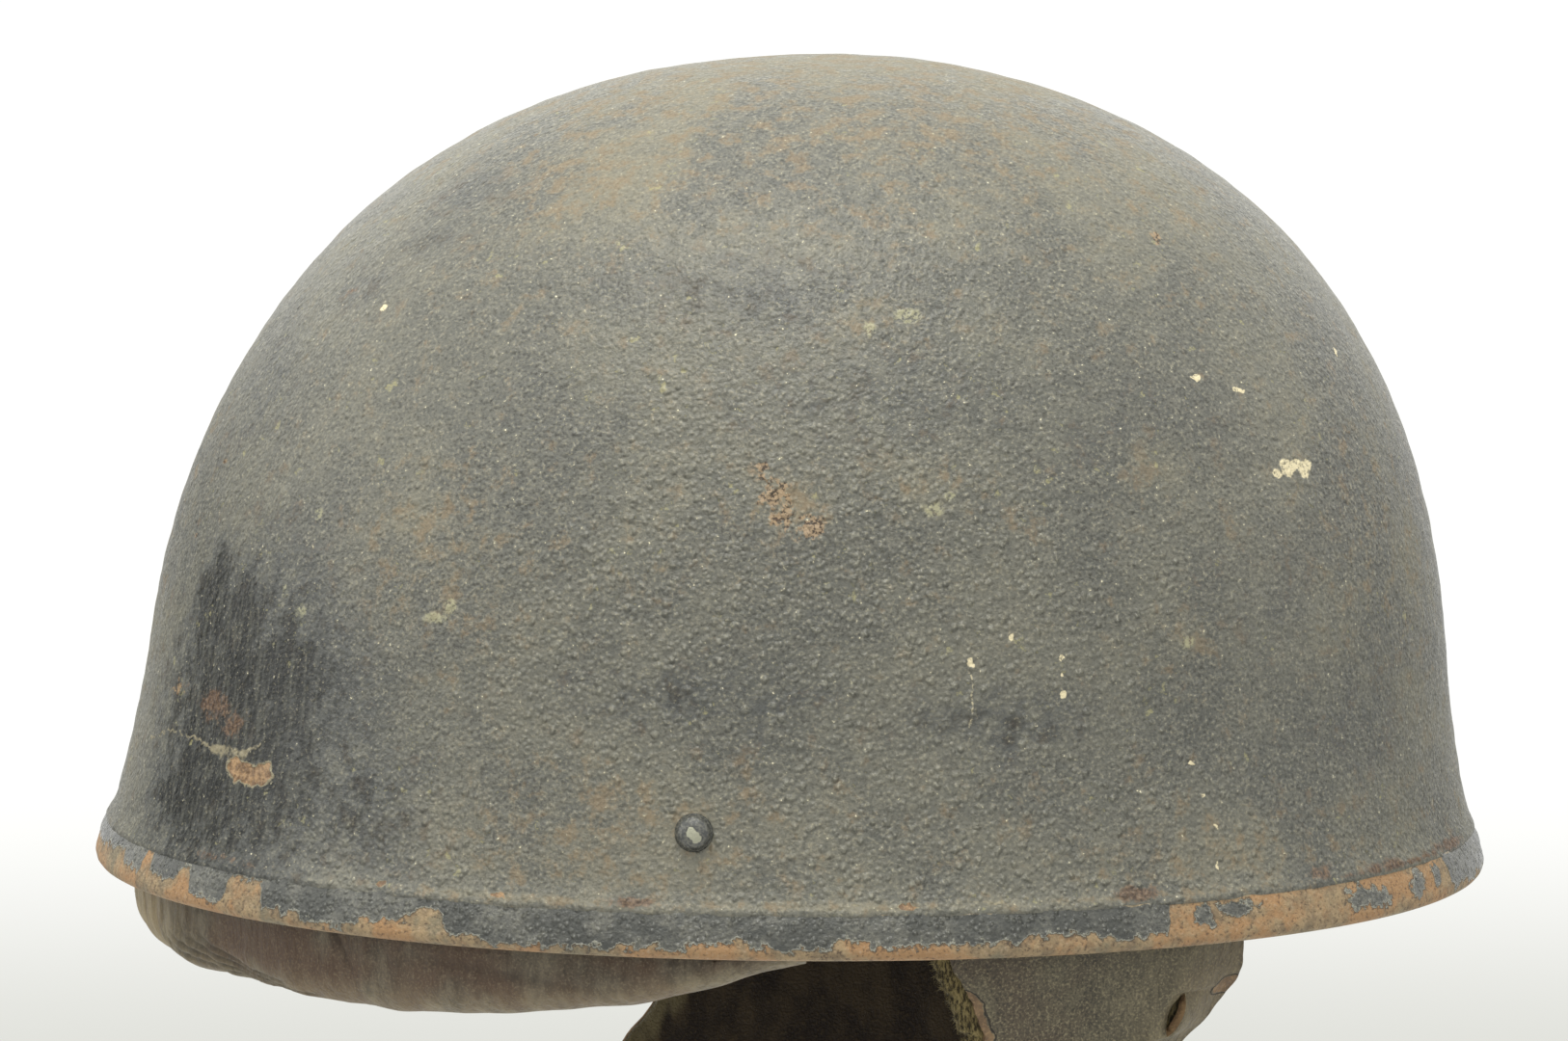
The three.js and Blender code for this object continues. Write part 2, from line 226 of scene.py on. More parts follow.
def ramp(value, low, high, start=0.0, end=1.0):
    """A soft step from start to end while value goes from low to high."""
    inputs = {"Value": value, "From Min": low, "From Max": high, "To Min": start, "To Max": end}
    made = add(value, "ShaderNodeMapRange", inputs, interpolation_type="SMOOTHSTEP")
    return made.outputs["Result"]


def domes(size, where, radius):
    """Round domes, 0 at their foot and 1 at the top, scattered about size metres apart."""
    inputs = {"Vector": where, "Scale": 1 / size}
    cells = add(where, "ShaderNodeTexVoronoi", inputs, feature="F1")
    return ramp(cells.outputs["Distance"], 0, radius / size, 1, 0)


def maths(operation, first, *others):
    """One kind of sum on values, from left to right."""
    for other in others:
        near = first if isinstance(first, bpy.types.NodeSocket) else other
        made = add(near, "ShaderNodeMath", {0: first, 1: other}, operation=operation)
        first = made.outputs["Value"]
    return first


plus = partial(maths, "ADD")
minus = partial(maths, "SUBTRACT")
times = partial(maths, "MULTIPLY")
most = partial(maths, "MAXIMUM")
least = partial(maths, "MINIMUM")


def size_of(value):
    """A value without its sign."""
    return maths("ABSOLUTE", value, 0)


def vector_maths(operation, first, second=(0, 0, 0), output="Vector"):
    """One sum on two vectors."""
    made = add(first, "ShaderNodeVectorMath", {0: first, 1: second}, operation=operation)
    return made.outputs[output]


def blend(share, under, over):
    """One colour over another; share is how much of the upper one shows."""
    made = add(share, "ShaderNodeMix", data_type="RGBA")
    for index, value in ((0, share), (6, under), (7, over)):
        if isinstance(value, bpy.types.NodeSocket):
            share.id_data.links.new(value, made.inputs[index])
        else:
            made.inputs[index].default_value = (*value, 1)
    return made.outputs[2]


def coats(colour, *layers):
    """Colours laid one over another; each layer is how much of it shows, and its colour."""
    for share, over in layers:
        colour = blend(share, colour, over)
    return colour


def new_finish(name, specular=0.5, sheen=0.0, sheen_roughness=0.5):
    """A material with constants on its shader's own sockets, and its Object coordinates."""
    material = bpy.data.materials.new(name)
    material.use_nodes = True
    sockets = material.node_tree.nodes["Principled BSDF"].inputs
    sockets["Specular IOR Level"].default_value = specular
    sockets["Sheen Weight"].default_value = sheen
    sockets["Sheen Roughness"].default_value = sheen_roughness
    return material, place_of(material.node_tree)


def dressed(material, colour, rough, relief, **others):
    """Links a colour, a roughness, a relief in metres and others to the material's shader."""
    tree = material.node_tree
    sockets = tree.nodes["Principled BSDF"].inputs
    bump = add(tree, "ShaderNodeBump", {"Height": relief, "Distance": 1}).outputs["Normal"]
    links = {"Base Color": colour, "Roughness": rough, "Normal": bump, **others}
    for name, socket in links.items():
        tree.links.new(socket, sockets[name])
    return material


# %% [markdown]
# ## Mesh helpers
# Leather, paint and steel are all skins, so most pieces start as a flat grid whose corners are then
# moved to a formula. `create_grid` also writes UVs. A ring or a dome meets itself, so its doubles
# are merged before its normals are worked out. Small helpers turn a bmesh into an object, and paint
# layers on its corners: a mark is an oval on the surface, and a layer is the strongest mark there.
# Marks come from short tables, which `rows` reads: the columns' names, then a tuple for each row.

# %% Mesh helpers
weld = 1e-6


def moved_grid(bm, columns, lines, place, **layers):
    """Adds a grid to bm and moves each corner to place(u, v); u and v run from 0 to 1.

    A layer is a number that is kept on each corner for the materials, by its own rule(u, v).
    """
    if not bm.loops.layers.uv:
        bm.loops.layers.uv.new("UVMap")
    floats = bm.verts.layers.float
    keys = {name: floats.get(name) or floats.new(name) for name in layers}
    made = bmesh.ops.create_grid(
        bm, x_segments=columns, y_segments=lines, size=0.5, calc_uvs=True)["verts"]
    for corner in made:
        u, v = corner.co.x + 0.5, corner.co.y + 0.5
        corner.co = place(u, v)
        for name, rule in layers.items():
            corner[keys[name]] = rule(u, v)


def mesh_of(bm, name, *materials):
    """Turns a bmesh into a mesh with its materials."""
    mesh = bpy.data.meshes.new(name)
    bm.to_mesh(mesh)
    bm.free()
    for material in materials:
        mesh.materials.append(material)
    return mesh


def finished(bm, name, *materials):
    """Makes the object, at the origin, smooth shaded, riding on the helmet's one body."""
    bmesh.ops.recalc_face_normals(bm, faces=bm.faces)
    mesh = mesh_of(bm, name, *materials)
    mesh.polygons.foreach_set("use_smooth", [True] * len(mesh.polygons))
    piece = in_scene(name, mesh)
    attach(piece, "root")
    print(f"{name}: {len(mesh.vertices)} corners, {len(mesh.polygons)} faces")
    return piece


def rows(columns, *values):
    """A table with named columns, given in one string, and a tuple for each row."""
    return [dict(zip(columns.split(), row)) for row in values]


def column(table, name):
    """All the values of one column."""
    return [row[name] for row in table]


def paint_layer(piece, layer, marks):
    """Paints the strongest of the marks on the piece's corners as a layer, from 0 to 1."""
    mesh = piece.data
    corners = np.empty(3 * len(mesh.vertices))
    mesh.vertices.foreach_get("co", corners)
    corners = corners.reshape(-1, 3)
    strength = np.zeros(len(corners))
    for mark in marks:
        centre = bowl_skin(math.radians(mark["turn"]), mark["height"] * mm / crown_height)
        away = corners - np.array(centre)
        flat = (away[:, 0] ** 2 + away[:, 1] ** 2) / (mark["wide"] * mm) ** 2
        upright = away[:, 2] ** 2 / (mark["high"] * mm) ** 2
        strength = np.maximum(strength, mark["power"] * np.exp(-(flat + upright)))
    attribute = mesh.attributes.new(layer, "FLOAT", "POINT")
    attribute.data.foreach_set("value", strength.astype(np.float32))
    print(f"  layer {layer}: {len(marks)} marks on {piece.name}")


# %% [markdown]
# ## The bowl's paint
# The paint is black-green and has a pebbled skin: bumps a little over a millimetre wide, in faint
# rows, as thick paint over a rough undercoat dries. Use has worn it: brown dust on the crown, small
# orange freckles of rust, glossy black wear at the back, and chips down to primer and rust. The
# finish stacks those layers one over the other, and the chips also lower the surface a little.

# %% Marks on the bowl
# turn is the angle seen from above, -90 on the wearer's right; height and sizes are millimetres
rust_marks = rows(
    "turn height wide high power",
    (-86.3, 91, 3, 3, 0.75), (-85, 86.5, 4, 3.5, 0.95), (-84.2, 82.5, 4.5, 3, 0.9),
    (-81.6, 80.8, 4, 3, 0.95), (-36.5, 132.3, 2.6, 2, 0.75), (-60, 99, 2, 1.5, 0.6),
    (-150, 40.5, 6, 1.8, 0.8), (-152, 85.6, 1.6, 0.9, 0.9), (-153.5, 70.3, 1.6, 0.9, 0.9),
    (62, 70, 9, 7, 0.9), (118, 44, 5, 8, 0.9), (168, 96, 7, 5, 0.85), (20, 40, 6, 4, 0.8))
stain_marks = rows(
    "turn height wide high power",
    (-148.5, 40.3, 5, 1.6, 0.7), (-141.5, 38.8, 6.5, 3.8, 0.95), (-138, 36, 5.5, 3.8, 0.9),
    (-94.5, 10.2, 5.4, 1.2, 1.1), (-54, 10.6, 5.2, 1.7, 1.2), (-35, 10.6, 5, 2, 0.9),
    (-26, 9.9, 8, 1.5, 0.9), (-12, 9.8, 14, 1.4, 0.95), (-22, 9.4, 34, 0.8, 0.8),
    (-135, 10.5, 16, 1.2, 0.6), (-143.5, 119.9, 3, 1.5, 0.75), (151, 22, 9, 5, 0.95),
    (84, 11.5, 12, 2, 1.0), (38, 11.5, 8, 1.5, 1.0))
gloss_marks = rows(
    "turn height wide high power",
    (-139, 52, 7, 16, 1.6), (-145, 60, 9, 14, 1.3), (-131, 48, 18, 10, 1.3), (-137, 34, 40, 42, 1.15),
    (-141, 122, 18, 9, 0.6), (-137, 131, 18, 8, 0.6), (-137, 140, 18, 6, 0.65),
    (-150, 96, 16, 26, 0.55), (-143, 21, 20, 11, 1.2), (-120, 24, 26, 16, 0.75),
    (-90, 124, 30, 11, 0.62), (-78, 104, 34, 14, 0.5), (-92, 48, 42, 10, 0.6), (-66, 44, 30, 10, 0.65),
    (-52, 96, 34, 18, 0.4), (-40, 62, 30, 16, 0.45), (-25, 40, 30, 26, 0.45), (140, 60, 22, 20, 0.8),
    (75, 110, 26, 14, 0.5))
dust_marks = rows(
    "turn height wide high power",
    (-90, 165, 110, 40, 0.9), (-118, 146, 30, 15, 1.0), (-60, 152, 36, 12, 0.85),
    (-117, 74, 20, 20, 0.75), (-100, 22, 44, 14, 0.7), (-90, 27.4, 4, 3, 1.0), (-104, 10, 36, 0.9, 1.1),
    (-78, 10, 40, 0.9, 1.1), (-50, 10, 30, 0.9, 0.9), (-84, 85, 7, 6, 1.25), (-71, 86, 8, 6, 0.8),
    (-50, 91, 10, 7, 0.8), (-47.5, 57.5, 9, 6, 0.85), (-76.5, 119, 12, 6, 0.8), (-114, 63, 5, 3, 0.9),
    (-20, 70, 26, 40, 0.5), (-45, 16, 30, 7, 0.75), (90, 30, 60, 20, 0.7), (180, 60, 40, 40, 0.5))
pebble_marks = rows(
    "turn height wide high power",
    (-80, 58, 85, 42, 1.0), (-60, 24, 66, 30, 1.1), (-115, 20, 34, 20, 0.8), (90, 50, 95, 50, 1.0))

# %% [markdown]
# Some marks are smaller than the mesh's own squares, so they are drawn in the material: cream paint
# that splashed on, chips with crisp edges, and fine cracks and drips. An oval is a distance from a
# point and a crack is a distance from a line; both are measured from coordinates that wander a
# little, and so their edges come out ragged, as flaked paint is.

# %% Small marks
cream_splashes = rows(
    "turn height wide high",
    (-34.4, 87.4, 1.3, 0.9), (-32.8, 88.3, 1.9, 1.9), (-31.4, 89.0, 1.6, 1.1), (-30.6, 87.6, 1.7, 1.8),
    (-29.5, 88.4, 0.9, 1.0), (-41.5, 106.3, 1.6, 0.6), (-36.5, 103.4, 1.3, 0.7),
    (-14.5, 107.9, 0.8, 1.1), (-135, 117.4, 0.9, 0.7), (-68, 55.2, 0.7, 1.0), (-64.5, 60.2, 0.8, 1.0),
    (-60, 48.8, 0.7, 1.0), (-60, 52.4, 0.4, 0.6), (-60, 55.6, 0.4, 0.6), (-47.8, 34.5, 0.6, 0.6),
    (-47, 28, 0.5, 0.7), (-45.8, 22, 0.4, 0.7), (-46, 14.5, 0.5, 0.6))
dull_splashes = rows(
    "turn height wide high",
    (-131, 78.6, 1.6, 1.3), (-130.5, 60.0, 1.6, 1.4), (-133, 63.3, 1.1, 1.5), (-114.6, 61.3, 3.0, 1.2),
    (-113.4, 63.6, 1.4, 1.6), (-71.2, 84, 2.0, 1.2), (-69.6, 86.5, 1.2, 1.0), (-72.5, 119.5, 2.8, 1.2),
    (-76.5, 117, 1.2, 1.8), (-48, 57, 1.8, 1.5))
cream_drips = rows(
    "from_turn from_height to_turn to_height width",
    (-68, 54, -68, 43, 0.28), (-60, 56, -60, 49, 0.22))
bare_chips = rows(
    "turn height wide high",
    (-134.2, 28.0, 7.0, 2.9), (-116.5, 10.2, 1.4, 0.7), (-105.5, 10.1, 1.5, 0.6), (-73, 10.1, 2.0, 0.5),
    (-88.5, 10.1, 0.4, 0.4))
chip_tops = rows(
    "turn height wide high",
    (-134.3, 31.5, 6.0, 2.6), (-138, 31.5, 4.6, 2.4))
paint_cracks = rows(
    "from_turn from_height to_turn to_height width",
    (-155.5, 28, -150, 31.6, 0.3), (-150, 31.6, -144.5, 31.8, 0.3), (-144.5, 31.8, -140.5, 30.6, 0.45),
    (-140.5, 30.6, -135.4, 30.6, 1.0), (-135.4, 30.6, -133.4, 33.4, 0.5), (-71.5, 9.6, -67, 10.4, 0.35),
    (-67, 10.4, -62, 10.3, 0.4), (-62, 10.3, -56.5, 9.7, 0.3))


def spot_distance(where, spots):
    """How far a place is from the nearest of some ovals, in oval sizes."""
    distances = []
    for spot in spots:
        angle, rise = math.radians(spot["turn"]), spot["height"] * mm / crown_height
        centre = bowl_skin(angle, rise) + bowl_normal(angle, rise) * spot.get("out", 0)
        across = 1 / (spot["wide"] * mm)
        away = vector_maths("SUBTRACT", where, centre)
        scaled = vector_maths("MULTIPLY", away, (across, across, 1 / (spot["high"] * mm)))
        distances.append(vector_maths("LENGTH", scaled, output="Value"))
    return least(*distances)


def line_distance(where, lines):
    """How far a place is from the nearest of some straight lines, in line widths."""
    distances = []
    for line in lines:
        start, end = (
            bowl_skin(math.radians(line[f"{k}_turn"]), line[f"{k}_height"] * mm / crown_height)
            for k in ("from", "to"))
        span = end - start
        away = vector_maths("SUBTRACT", where, start)
        share = vector_maths("DOT_PRODUCT", away, span / span.length_squared, output="Value")
        share = add(where, "ShaderNodeClamp", {"Value": share}).outputs[0]
        inputs = {0: span, "Scale": share}
        foot = add(where, "ShaderNodeVectorMath", inputs, operation="SCALE").outputs[0]
        length = vector_maths("LENGTH", vector_maths("SUBTRACT", away, foot), output="Value")
        distances.append(maths("DIVIDE", length, line["width"] * mm))
    return least(*distances)


def wandering(where, size, reach):
    """Coordinates that wander by up to reach metres, so that edges turn ragged."""
    swirl = speckle(size, where, detail=3, output="Color")
    centred = vector_maths("SUBTRACT", swirl, (0.5, 0.5, 0.5))
    moved = vector_maths("MULTIPLY", centred, (4 * reach, 4 * reach, 4 * reach))
    return vector_maths("ADD", where, moved)


# %% [markdown]
# Hands and the ground rub a helmet's front and back, so the paint there mirrors less light than on
# its sides.

# %% The paint itself
def steel_paint(where):
    """The paint that all the steel has, before wear: its colour, and the patterns that make it."""
    mottle = speckle(2.8 * mm, where, detail=4, roughness=0.7)
    grain = speckle(0.7 * mm, where, detail=2, roughness=0.6)
    pebbles = domes(1.35 * mm, where, 0.72 * mm)
    colour = coats(
        (0.067, 0.068, 0.061),
        (ramp(mottle, 0.34, 0.66), (0.094, 0.092, 0.078)),
        (ramp(grain, 0.5, 0.72, 0, 0.45), (0.18, 0.176, 0.14)),
        (ramp(grain, 0.46, 0.3, 0, 0.6), (0.02, 0.02, 0.018)))
    return colour, mottle, grain, pebbles


def paint_wear(paint, where, mottle, grain, clouds):
    """Lays gloss, dust and brown freckles over the paint; gives the colour, the gloss and the dust."""
    blotch = speckle(4.5 * mm, where, detail=5, roughness=0.72)
    streaks = speckle(1.3 * mm, place_of(where, stretch=(1, 1, 0.1)), detail=2)
    gloss = ramp(plus(painted_on(where, "gloss"), ramp(blotch, 0.3, 0.7, -0.35, 0.3)), 0.2, 1.1)
    dust = plus(
        painted_on(where, "dust"), ramp(blotch, 0.3, 0.7, -0.4, 0.4),
        ramp(mottle, 0.3, 0.7, -0.2, 0.2))
    unglossed = ramp(gloss, 0, 1, 1, 0.15)
    dusty = ramp(plus(dust, ramp(clouds, 0.35, 0.65, -0.25, 0.3)), 0, 1.5, 0, 0.85)
    dusty = times(dusty, unglossed)
    browned = plus(blotch, ramp(dust, 0, 1.1, -0.07, 0.06))
    clusters = speckle(16 * mm, where, detail=3)
    olive = plus(mottle, ramp(clusters, 0.4, 0.62, 0.14, 0))
    paint = coats(
        paint,
        (ramp(gloss, 0, 0.45, 0, 0.75), (0.054, 0.057, 0.057)),
        (ramp(gloss, 0.3, 1, 0, 0.94), (0.012, 0.013, 0.013)),
        (times(gloss, ramp(streaks, 0.44, 0.7, 0, 0.34)), (0.12, 0.12, 0.1)),
        (dusty, (0.152, 0.14, 0.102)),
        (times(ramp(browned, 0.5, 0.7, 0, 0.5), unglossed), (0.15, 0.1, 0.052)),
        (ramp(grain, 0.56, 0.7, 0, 0.3), (0.26, 0.235, 0.165)),
        (ramp(grain, 0.44, 0.32, 0, 0.3), (0.05, 0.045, 0.033)),
        (ramp(olive, 0.4, 0.31, 0, 0.6), (0.27, 0.25, 0.13)),
        (ramp(grain, 0.735, 0.765), (0.6, 0.56, 0.4)))
    return paint, gloss, dusty


def bowl_paint():
    """Worn black-green paint on steel, with dust, rust, chips and splashes."""
    material, where = new_finish("bowl_paint")
    paint, mottle, grain, pebbles = steel_paint(where)
    clouds = speckle(30 * mm, where, detail=4, roughness=0.6)
    freckle = speckle(2.1 * mm, where, detail=4, roughness=0.72)
    ripples = speckle(2.6 * mm, place_of(where, stretch=(1, 1, 1.5)), detail=1, warp=0.5)
    bumps = domes(2.6 * mm, wandering(where, 2 * mm, 0.25 * mm), 1.05 * mm)
    pebbled = plus(painted_on(where, "pebble"), ramp(clouds, 0.35, 0.65, -0.2, 0.3))
    pebbled = ramp(pebbled, 0.1, 0.95)
    paint = blend(ramp(clouds, 0.38, 0.62, 0, 0.4), paint, (0.13, 0.126, 0.1))
    paint, gloss, dusty = paint_wear(paint, where, mottle, grain, clouds)
    # Pale pebble tops: partly worn paint, partly a painted highlight on the bumps.
    worn_and_highlit_tops = times(most(times(pebbles, 0.6), bumps), ramp(freckle, 0.4, 0.62, 0.15, 0.8), pebbled)

    stained = plus(painted_on(where, "stain"), ramp(mottle, 0.3, 0.7, -0.28, 0.28))
    stain = blend(ramp(grain, 0.35, 0.65), (0.045, 0.026, 0.017), (0.125, 0.08, 0.05))
    rusty = plus(times(painted_on(where, "rust"), 1.7), ramp(freckle, 0.3, 0.7, -1.3, 0.1))
    rusty = ramp(rusty, 0.35, 0.75)
    rust = blend(ramp(grain, 0.42, 0.49), (0.045, 0.027, 0.017), (0.25, 0.175, 0.105))

    astray = wandering(where, 2 * mm, 0.7 * mm)
    left_on = minus(2, spot_distance(astray, chip_tops))
    chip = most(spot_distance(astray, bare_chips), left_on)
    chipped = ramp(chip, 0.97, 1.03, 1, 0)
    primer = blend(ramp(freckle, 0.4, 0.6), (0.11, 0.066, 0.036), (0.25, 0.16, 0.085))
    cracked = ramp(line_distance(astray, paint_cracks), 0.5, 1.3, 1, 0)
    cracked = times(cracked, ramp(mottle, 0.36, 0.5, 0.1, 1))
    pale = most(ramp(chip, 1.08, 1.14, 1, 0), cracked)
    dulled = times(
        ramp(spot_distance(astray, dull_splashes), 0.6, 1.2, 1, 0),
        ramp(mottle, 0.38, 0.52, 0.1, 0.9), ramp(grain, 0.4, 0.52, 0.1, 0.85))
    splashed = ramp(spot_distance(astray, cream_splashes), 0.85, 1.1, 1, 0)
    dripped = ramp(line_distance(astray, cream_drips), 0.7, 1.3, 0.6, 0)
    dripped = times(dripped, ramp(mottle, 0.44, 0.52, 0.15, 1))
    cream = times(most(splashed, dripped), ramp(grain, 0.34, 0.5, 0.25, 0.9))
    paint = coats(
        paint,
        (worn_and_highlit_tops, (0.19, 0.185, 0.145)),
        (ramp(stained, 0.4, 0.85, 0, 0.88), stain),
        (times(rusty, 0.8), rust),
        (times(pale, 0.75), (0.23, 0.2, 0.13)),
        (chipped, primer),
        (dulled, (0.25, 0.24, 0.15)),
        (cream, (0.56, 0.49, 0.32)))

    raised = plus(
        times(pebbles, ramp(pebbled, 0, 1, 0.14 * mm, 0.3 * mm)),
        times(bumps, ramp(pebbled, 0, 1, 0.2 * mm, 0.62 * mm)),
        times(grain, 0.18 * mm), times(mottle, 0.16 * mm),
        times(ripples, ramp(pebbled, 0, 1, 0.26 * mm, 0.3 * mm)))
    relief = minus(raised, times(chipped, 0.2 * mm))
    rough = minus(ramp(grain, 0.3, 0.7, 0.4, 0.24), times(gloss, 0.06))
    rough = plus(rough, times(dusty, 0.3), times(rusty, 0.3))
    along = add(where, "ShaderNodeSeparateXYZ", {0: where}).outputs["X"]
    rubbed = ramp(size_of(minus(along, 8 * mm)), 88 * mm, 130 * mm, 0.38, 0.04)
    return dressed(material, paint, rough, relief, **{"Specular IOR Level": rubbed})


# %% [markdown]
# ## The bowl
# The real bowl is one disc of manganese steel, pressed over a form. Here a grid runs round the
# formula and up to the crown, and its top row closes in one point. A second, coarser grid is the
# inner face, and `bridge_loops` closes the two along the lower edge. The outer skin also has slight
# dents and waves, a fraction of a millimetre deep, which a pressed and dropped bowl always has.

# %% Bowl mesh
bowl_columns = 480
bowl_rows = 160
inner_rows = 24
binding_outer_leg = 9 * mm
cove_top = 15 * mm
cove_depth = 1.0 * mm
close_rows_below = 16 * mm
close_rows = 2.6


def even_rises(count):
    """Rises from the lower edge to the crown, at equal steps up the side but closer near the rim."""
    steps = 3000
    lowest = bowl_edge_height / crown_height
    fine = [lerp(lowest, 1, math.sin(math.pi / 2 * k / steps) ** 0.7) for k in range(steps + 1)]
    places = [bowl_skin(math.pi / 2, rise) for rise in fine]
    closeness = [close_rows if rise * crown_height < close_rows_below else 1 for rise in fine]
    along = np.cumsum([0] + [(b - a).length * c for a, b, c in zip(places, places[1:], closeness)])
    return np.interp(np.linspace(0, along[-1], count + 1), along, fine)


def dents(place):
    """Slight waves of the pressed sheet and of its paint, outwards in metres."""
    broad = noise.noise(place / (38 * mm)) * 0.35 * mm
    waved = noise.noise(Vector((place.x, place.y, place.z * 1.7)) / (7 * mm)) * 0.2 * mm
    height = place.z + rim_drop
    over_leg = height - binding_outer_leg
    share = max(0, 1 - max(0, over_leg) / (cove_top - binding_outer_leg))
    cove = cove_depth * share**2.5 * smooth_step(over_leg, -2 * mm, -0.6 * mm)
    cove *= 1 + 0.3 * noise.noise(place / (4.5 * mm))
    return (broad + waved) * smooth_step(height, 7 * mm, 14 * mm) + cove


def steel_bowl():
    """The bowl with its outer skin, inner face and lower edge."""
    rises = even_rises(bowl_rows)
    inner_rises = even_rises(inner_rows)

    def outer(u, v):
        rise = rises[round(v * bowl_rows)]
        angle = 2 * math.pi * u
        place = bowl_skin(angle, rise)
        return place + bowl_normal(angle, rise) * dents(place)

    def inner(u, v):
        rise = inner_rises[round(v * inner_rows)]
        return bowl_point(2 * math.pi * u, rise * crown_height, steel_wall)

    bm = bmesh.new()
    moved_grid(bm, bowl_columns, bowl_rows, outer)
    moved_grid(bm, bowl_columns, inner_rows, inner)
    bmesh.ops.remove_doubles(bm, verts=bm.verts, dist=weld)
    edge = [side for side in bm.edges if side.is_boundary]
    bmesh.ops.bridge_loops(bm, edges=edge)
    return finished(bm, "steel_bowl", bowl_paint())


bowl = steel_bowl()
bowl_layers = {
    "rust": rust_marks, "stain": stain_marks, "gloss": gloss_marks, "dust": dust_marks,
    "pebble": pebble_marks}
for layer, marks in bowl_layers.items():
    paint_layer(bowl, layer, marks)
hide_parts("shell")

# %% [markdown]
# ## The rim binding
# A strip of steel is folded over the bowl's raw edge, so that it can't cut. Its paint has flaked
# along the bottom, where hands hold it, and rust shows. The section is a closed line: down the outer
# leg, round the fold, up the inner leg and back inside. A grid that wraps both ways follows it.

# %% Binding tables
# low is how far above the lower edge the paint ends, in millimetres; 10 and more is bare to the top
binding_paint_line = rows(
    "turn low",
    (-180, 4.5), (-160, 5.0), (-153, 6.5), (-152, 3.8), (-148, 3.8), (-147.5, 9), (-146.3, 9),
    (-146, 4.5), (-141, 4.5), (-140.5, 7), (-138.8, 7), (-138.4, 2.2), (-133.4, 2.2), (-133, 7.4),
    (-129, 7.4), (-128.4, 3), (-120, 1), (-118, 1.6), (-117.5, 3.4), (-113.5, 3.6), (-112, 7),
    (-110.6, 6.8), (-109.5, 2.8), (-105, 0.9), (-90, 1.9), (-86, 3.3), (-83, 1.7), (-79, 2.1),
    (-78.3, 4), (-77, 3.6), (-76, 2.6), (-66, 2.5), (-60, 4.5), (-57, 2.5), (-51.6, 2.6), (-51, 12),
    (-15.5, 12), (-14, 1.5), (31, 2), (52, 3), (60, 6), (66, 2), (104, 2.5), (110, 7), (116, 3),
    (150, 3), (154, 8), (160, 4), (180, 4.5))
binding_patches = rows(
    "turn height wide high",
    (-48, 5.4, 2.4, 1.8), (-45, 6.0, 3.8, 1.6), (-30.5, 4.6, 3.6, 2.4), (-28, 4.0, 3.2, 1.8),
    (-21.5, 4.6, 2.8, 2.6), (-17.5, 5.4, 2.2, 2.4))
# where the paint has cracked along the binding's top edge
binding_top_cracks = rows(
    "from_turn to_turn",
    (-159, -127), (-77, 12), (20, 70), (120, 150))
mean_rim_radius = 125


def half_turn(u):
    """Degrees from the front, -180 to 180, for a share of the way round."""
    return (360 * u + 180) % 360 - 180


def paint_over(turn, height):
    """How far a place is inside the paint that the binding has kept, in millimetres."""
    line = binding_paint_line
    inside = height - float(np.interp(turn, column(line, "turn"), column(line, "low")))
    for patch in binding_patches:
        across = math.radians(turn - patch["turn"]) * mean_rim_radius / patch["wide"]
        up = (height - patch["height"]) / patch["high"]
        inside = max(inside, (1 - math.hypot(across, up)) * patch["high"])
    return inside


# %% Binding finish
def binding_finish():
    """Rough black paint, thick at its broken edge, over brown and orange rust."""
    material, where = new_finish("binding_rust")
    paint, mottle, grain, pebbles = steel_paint(where)
    ragged = speckle(2.4 * mm, where, detail=4, roughness=0.6)
    broad = speckle(13 * mm, where, detail=4, roughness=0.65)
    field = plus(painted_on(where, "over"), ramp(ragged, 0.3, 0.7, -1.1, 1.1))
    kept = ramp(field, -0.12, 0.12)
    # Darker in a narrow band just below the kept paint's edge.
    below_paint_edge = minus(ramp(field, -0.6, -0.1), kept)
    # A painted highlight along the thick paint's broken edge.
    painted_edge_highlight = times(kept, ramp(field, 0.15, 0.6, 0.75, 0))
    off_line = plus(painted_on(where, "up"), ramp(ragged, 0.3, 0.7, -0.3, 0.3))
    on_line = ramp(size_of(off_line), 0.14, 0.34, 1, 0)
    top_crack = times(on_line, ramp(broad, 0.4, 0.55, 0.4, 0.95), painted_on(where, "crack"))
    # The pebbles' pale tint is partly worn paint, partly a painted highlight on the bumps.
    paint = coats(
        paint,
        (ramp(broad, 0.42, 0.58, 0.85, 0.2), (0.026, 0.028, 0.026)),
        (times(pebbles, 0.12), (0.2, 0.2, 0.17)))
    colour = coats(
        (0.135, 0.097, 0.056),
        (ramp(mottle, 0.35, 0.65), (0.23, 0.167, 0.092)),
        (ramp(broad, 0.47, 0.6, 0, 0.75), (0.255, 0.138, 0.058)),
        (ramp(broad, 0.46, 0.36, 0, 0.75), (0.125, 0.112, 0.074)),
        (ramp(grain, 0.55, 0.75, 0, 0.6), (0.27, 0.2, 0.135)),
        (ramp(grain, 0.44, 0.3, 0, 0.7), (0.045, 0.025, 0.016)),
        (kept, paint),
        (times(below_paint_edge, 0.65), (0.03, 0.018, 0.012)),
        (painted_edge_highlight, (0.24, 0.235, 0.19)),
        (top_crack, (0.2, 0.155, 0.09)))
    relief = plus(
        times(kept, ramp(field, 0, 0.6, 0.34 * mm, 0.26 * mm)), times(pebbles, kept, 0.5 * mm),
        times(grain, 0.16 * mm), times(mottle, 0.4 * mm))
    return dressed(material, colour, ramp(kept, 0, 1, 0.72, 0.2), relief)


# %% Binding mesh
binding_columns = 1000
binding_turns = 44
lip_thickness = 0.35 * mm
full_thickness_height = 5.5 * mm


def arc(centre, radius, start, end, steps):
    """Points of an arc in the section's plane, from one angle to another."""
    turns = np.linspace(start, end, steps)
    return [(centre[0] + radius * math.cos(t), centre[1] + radius * math.sin(t)) for t in turns]


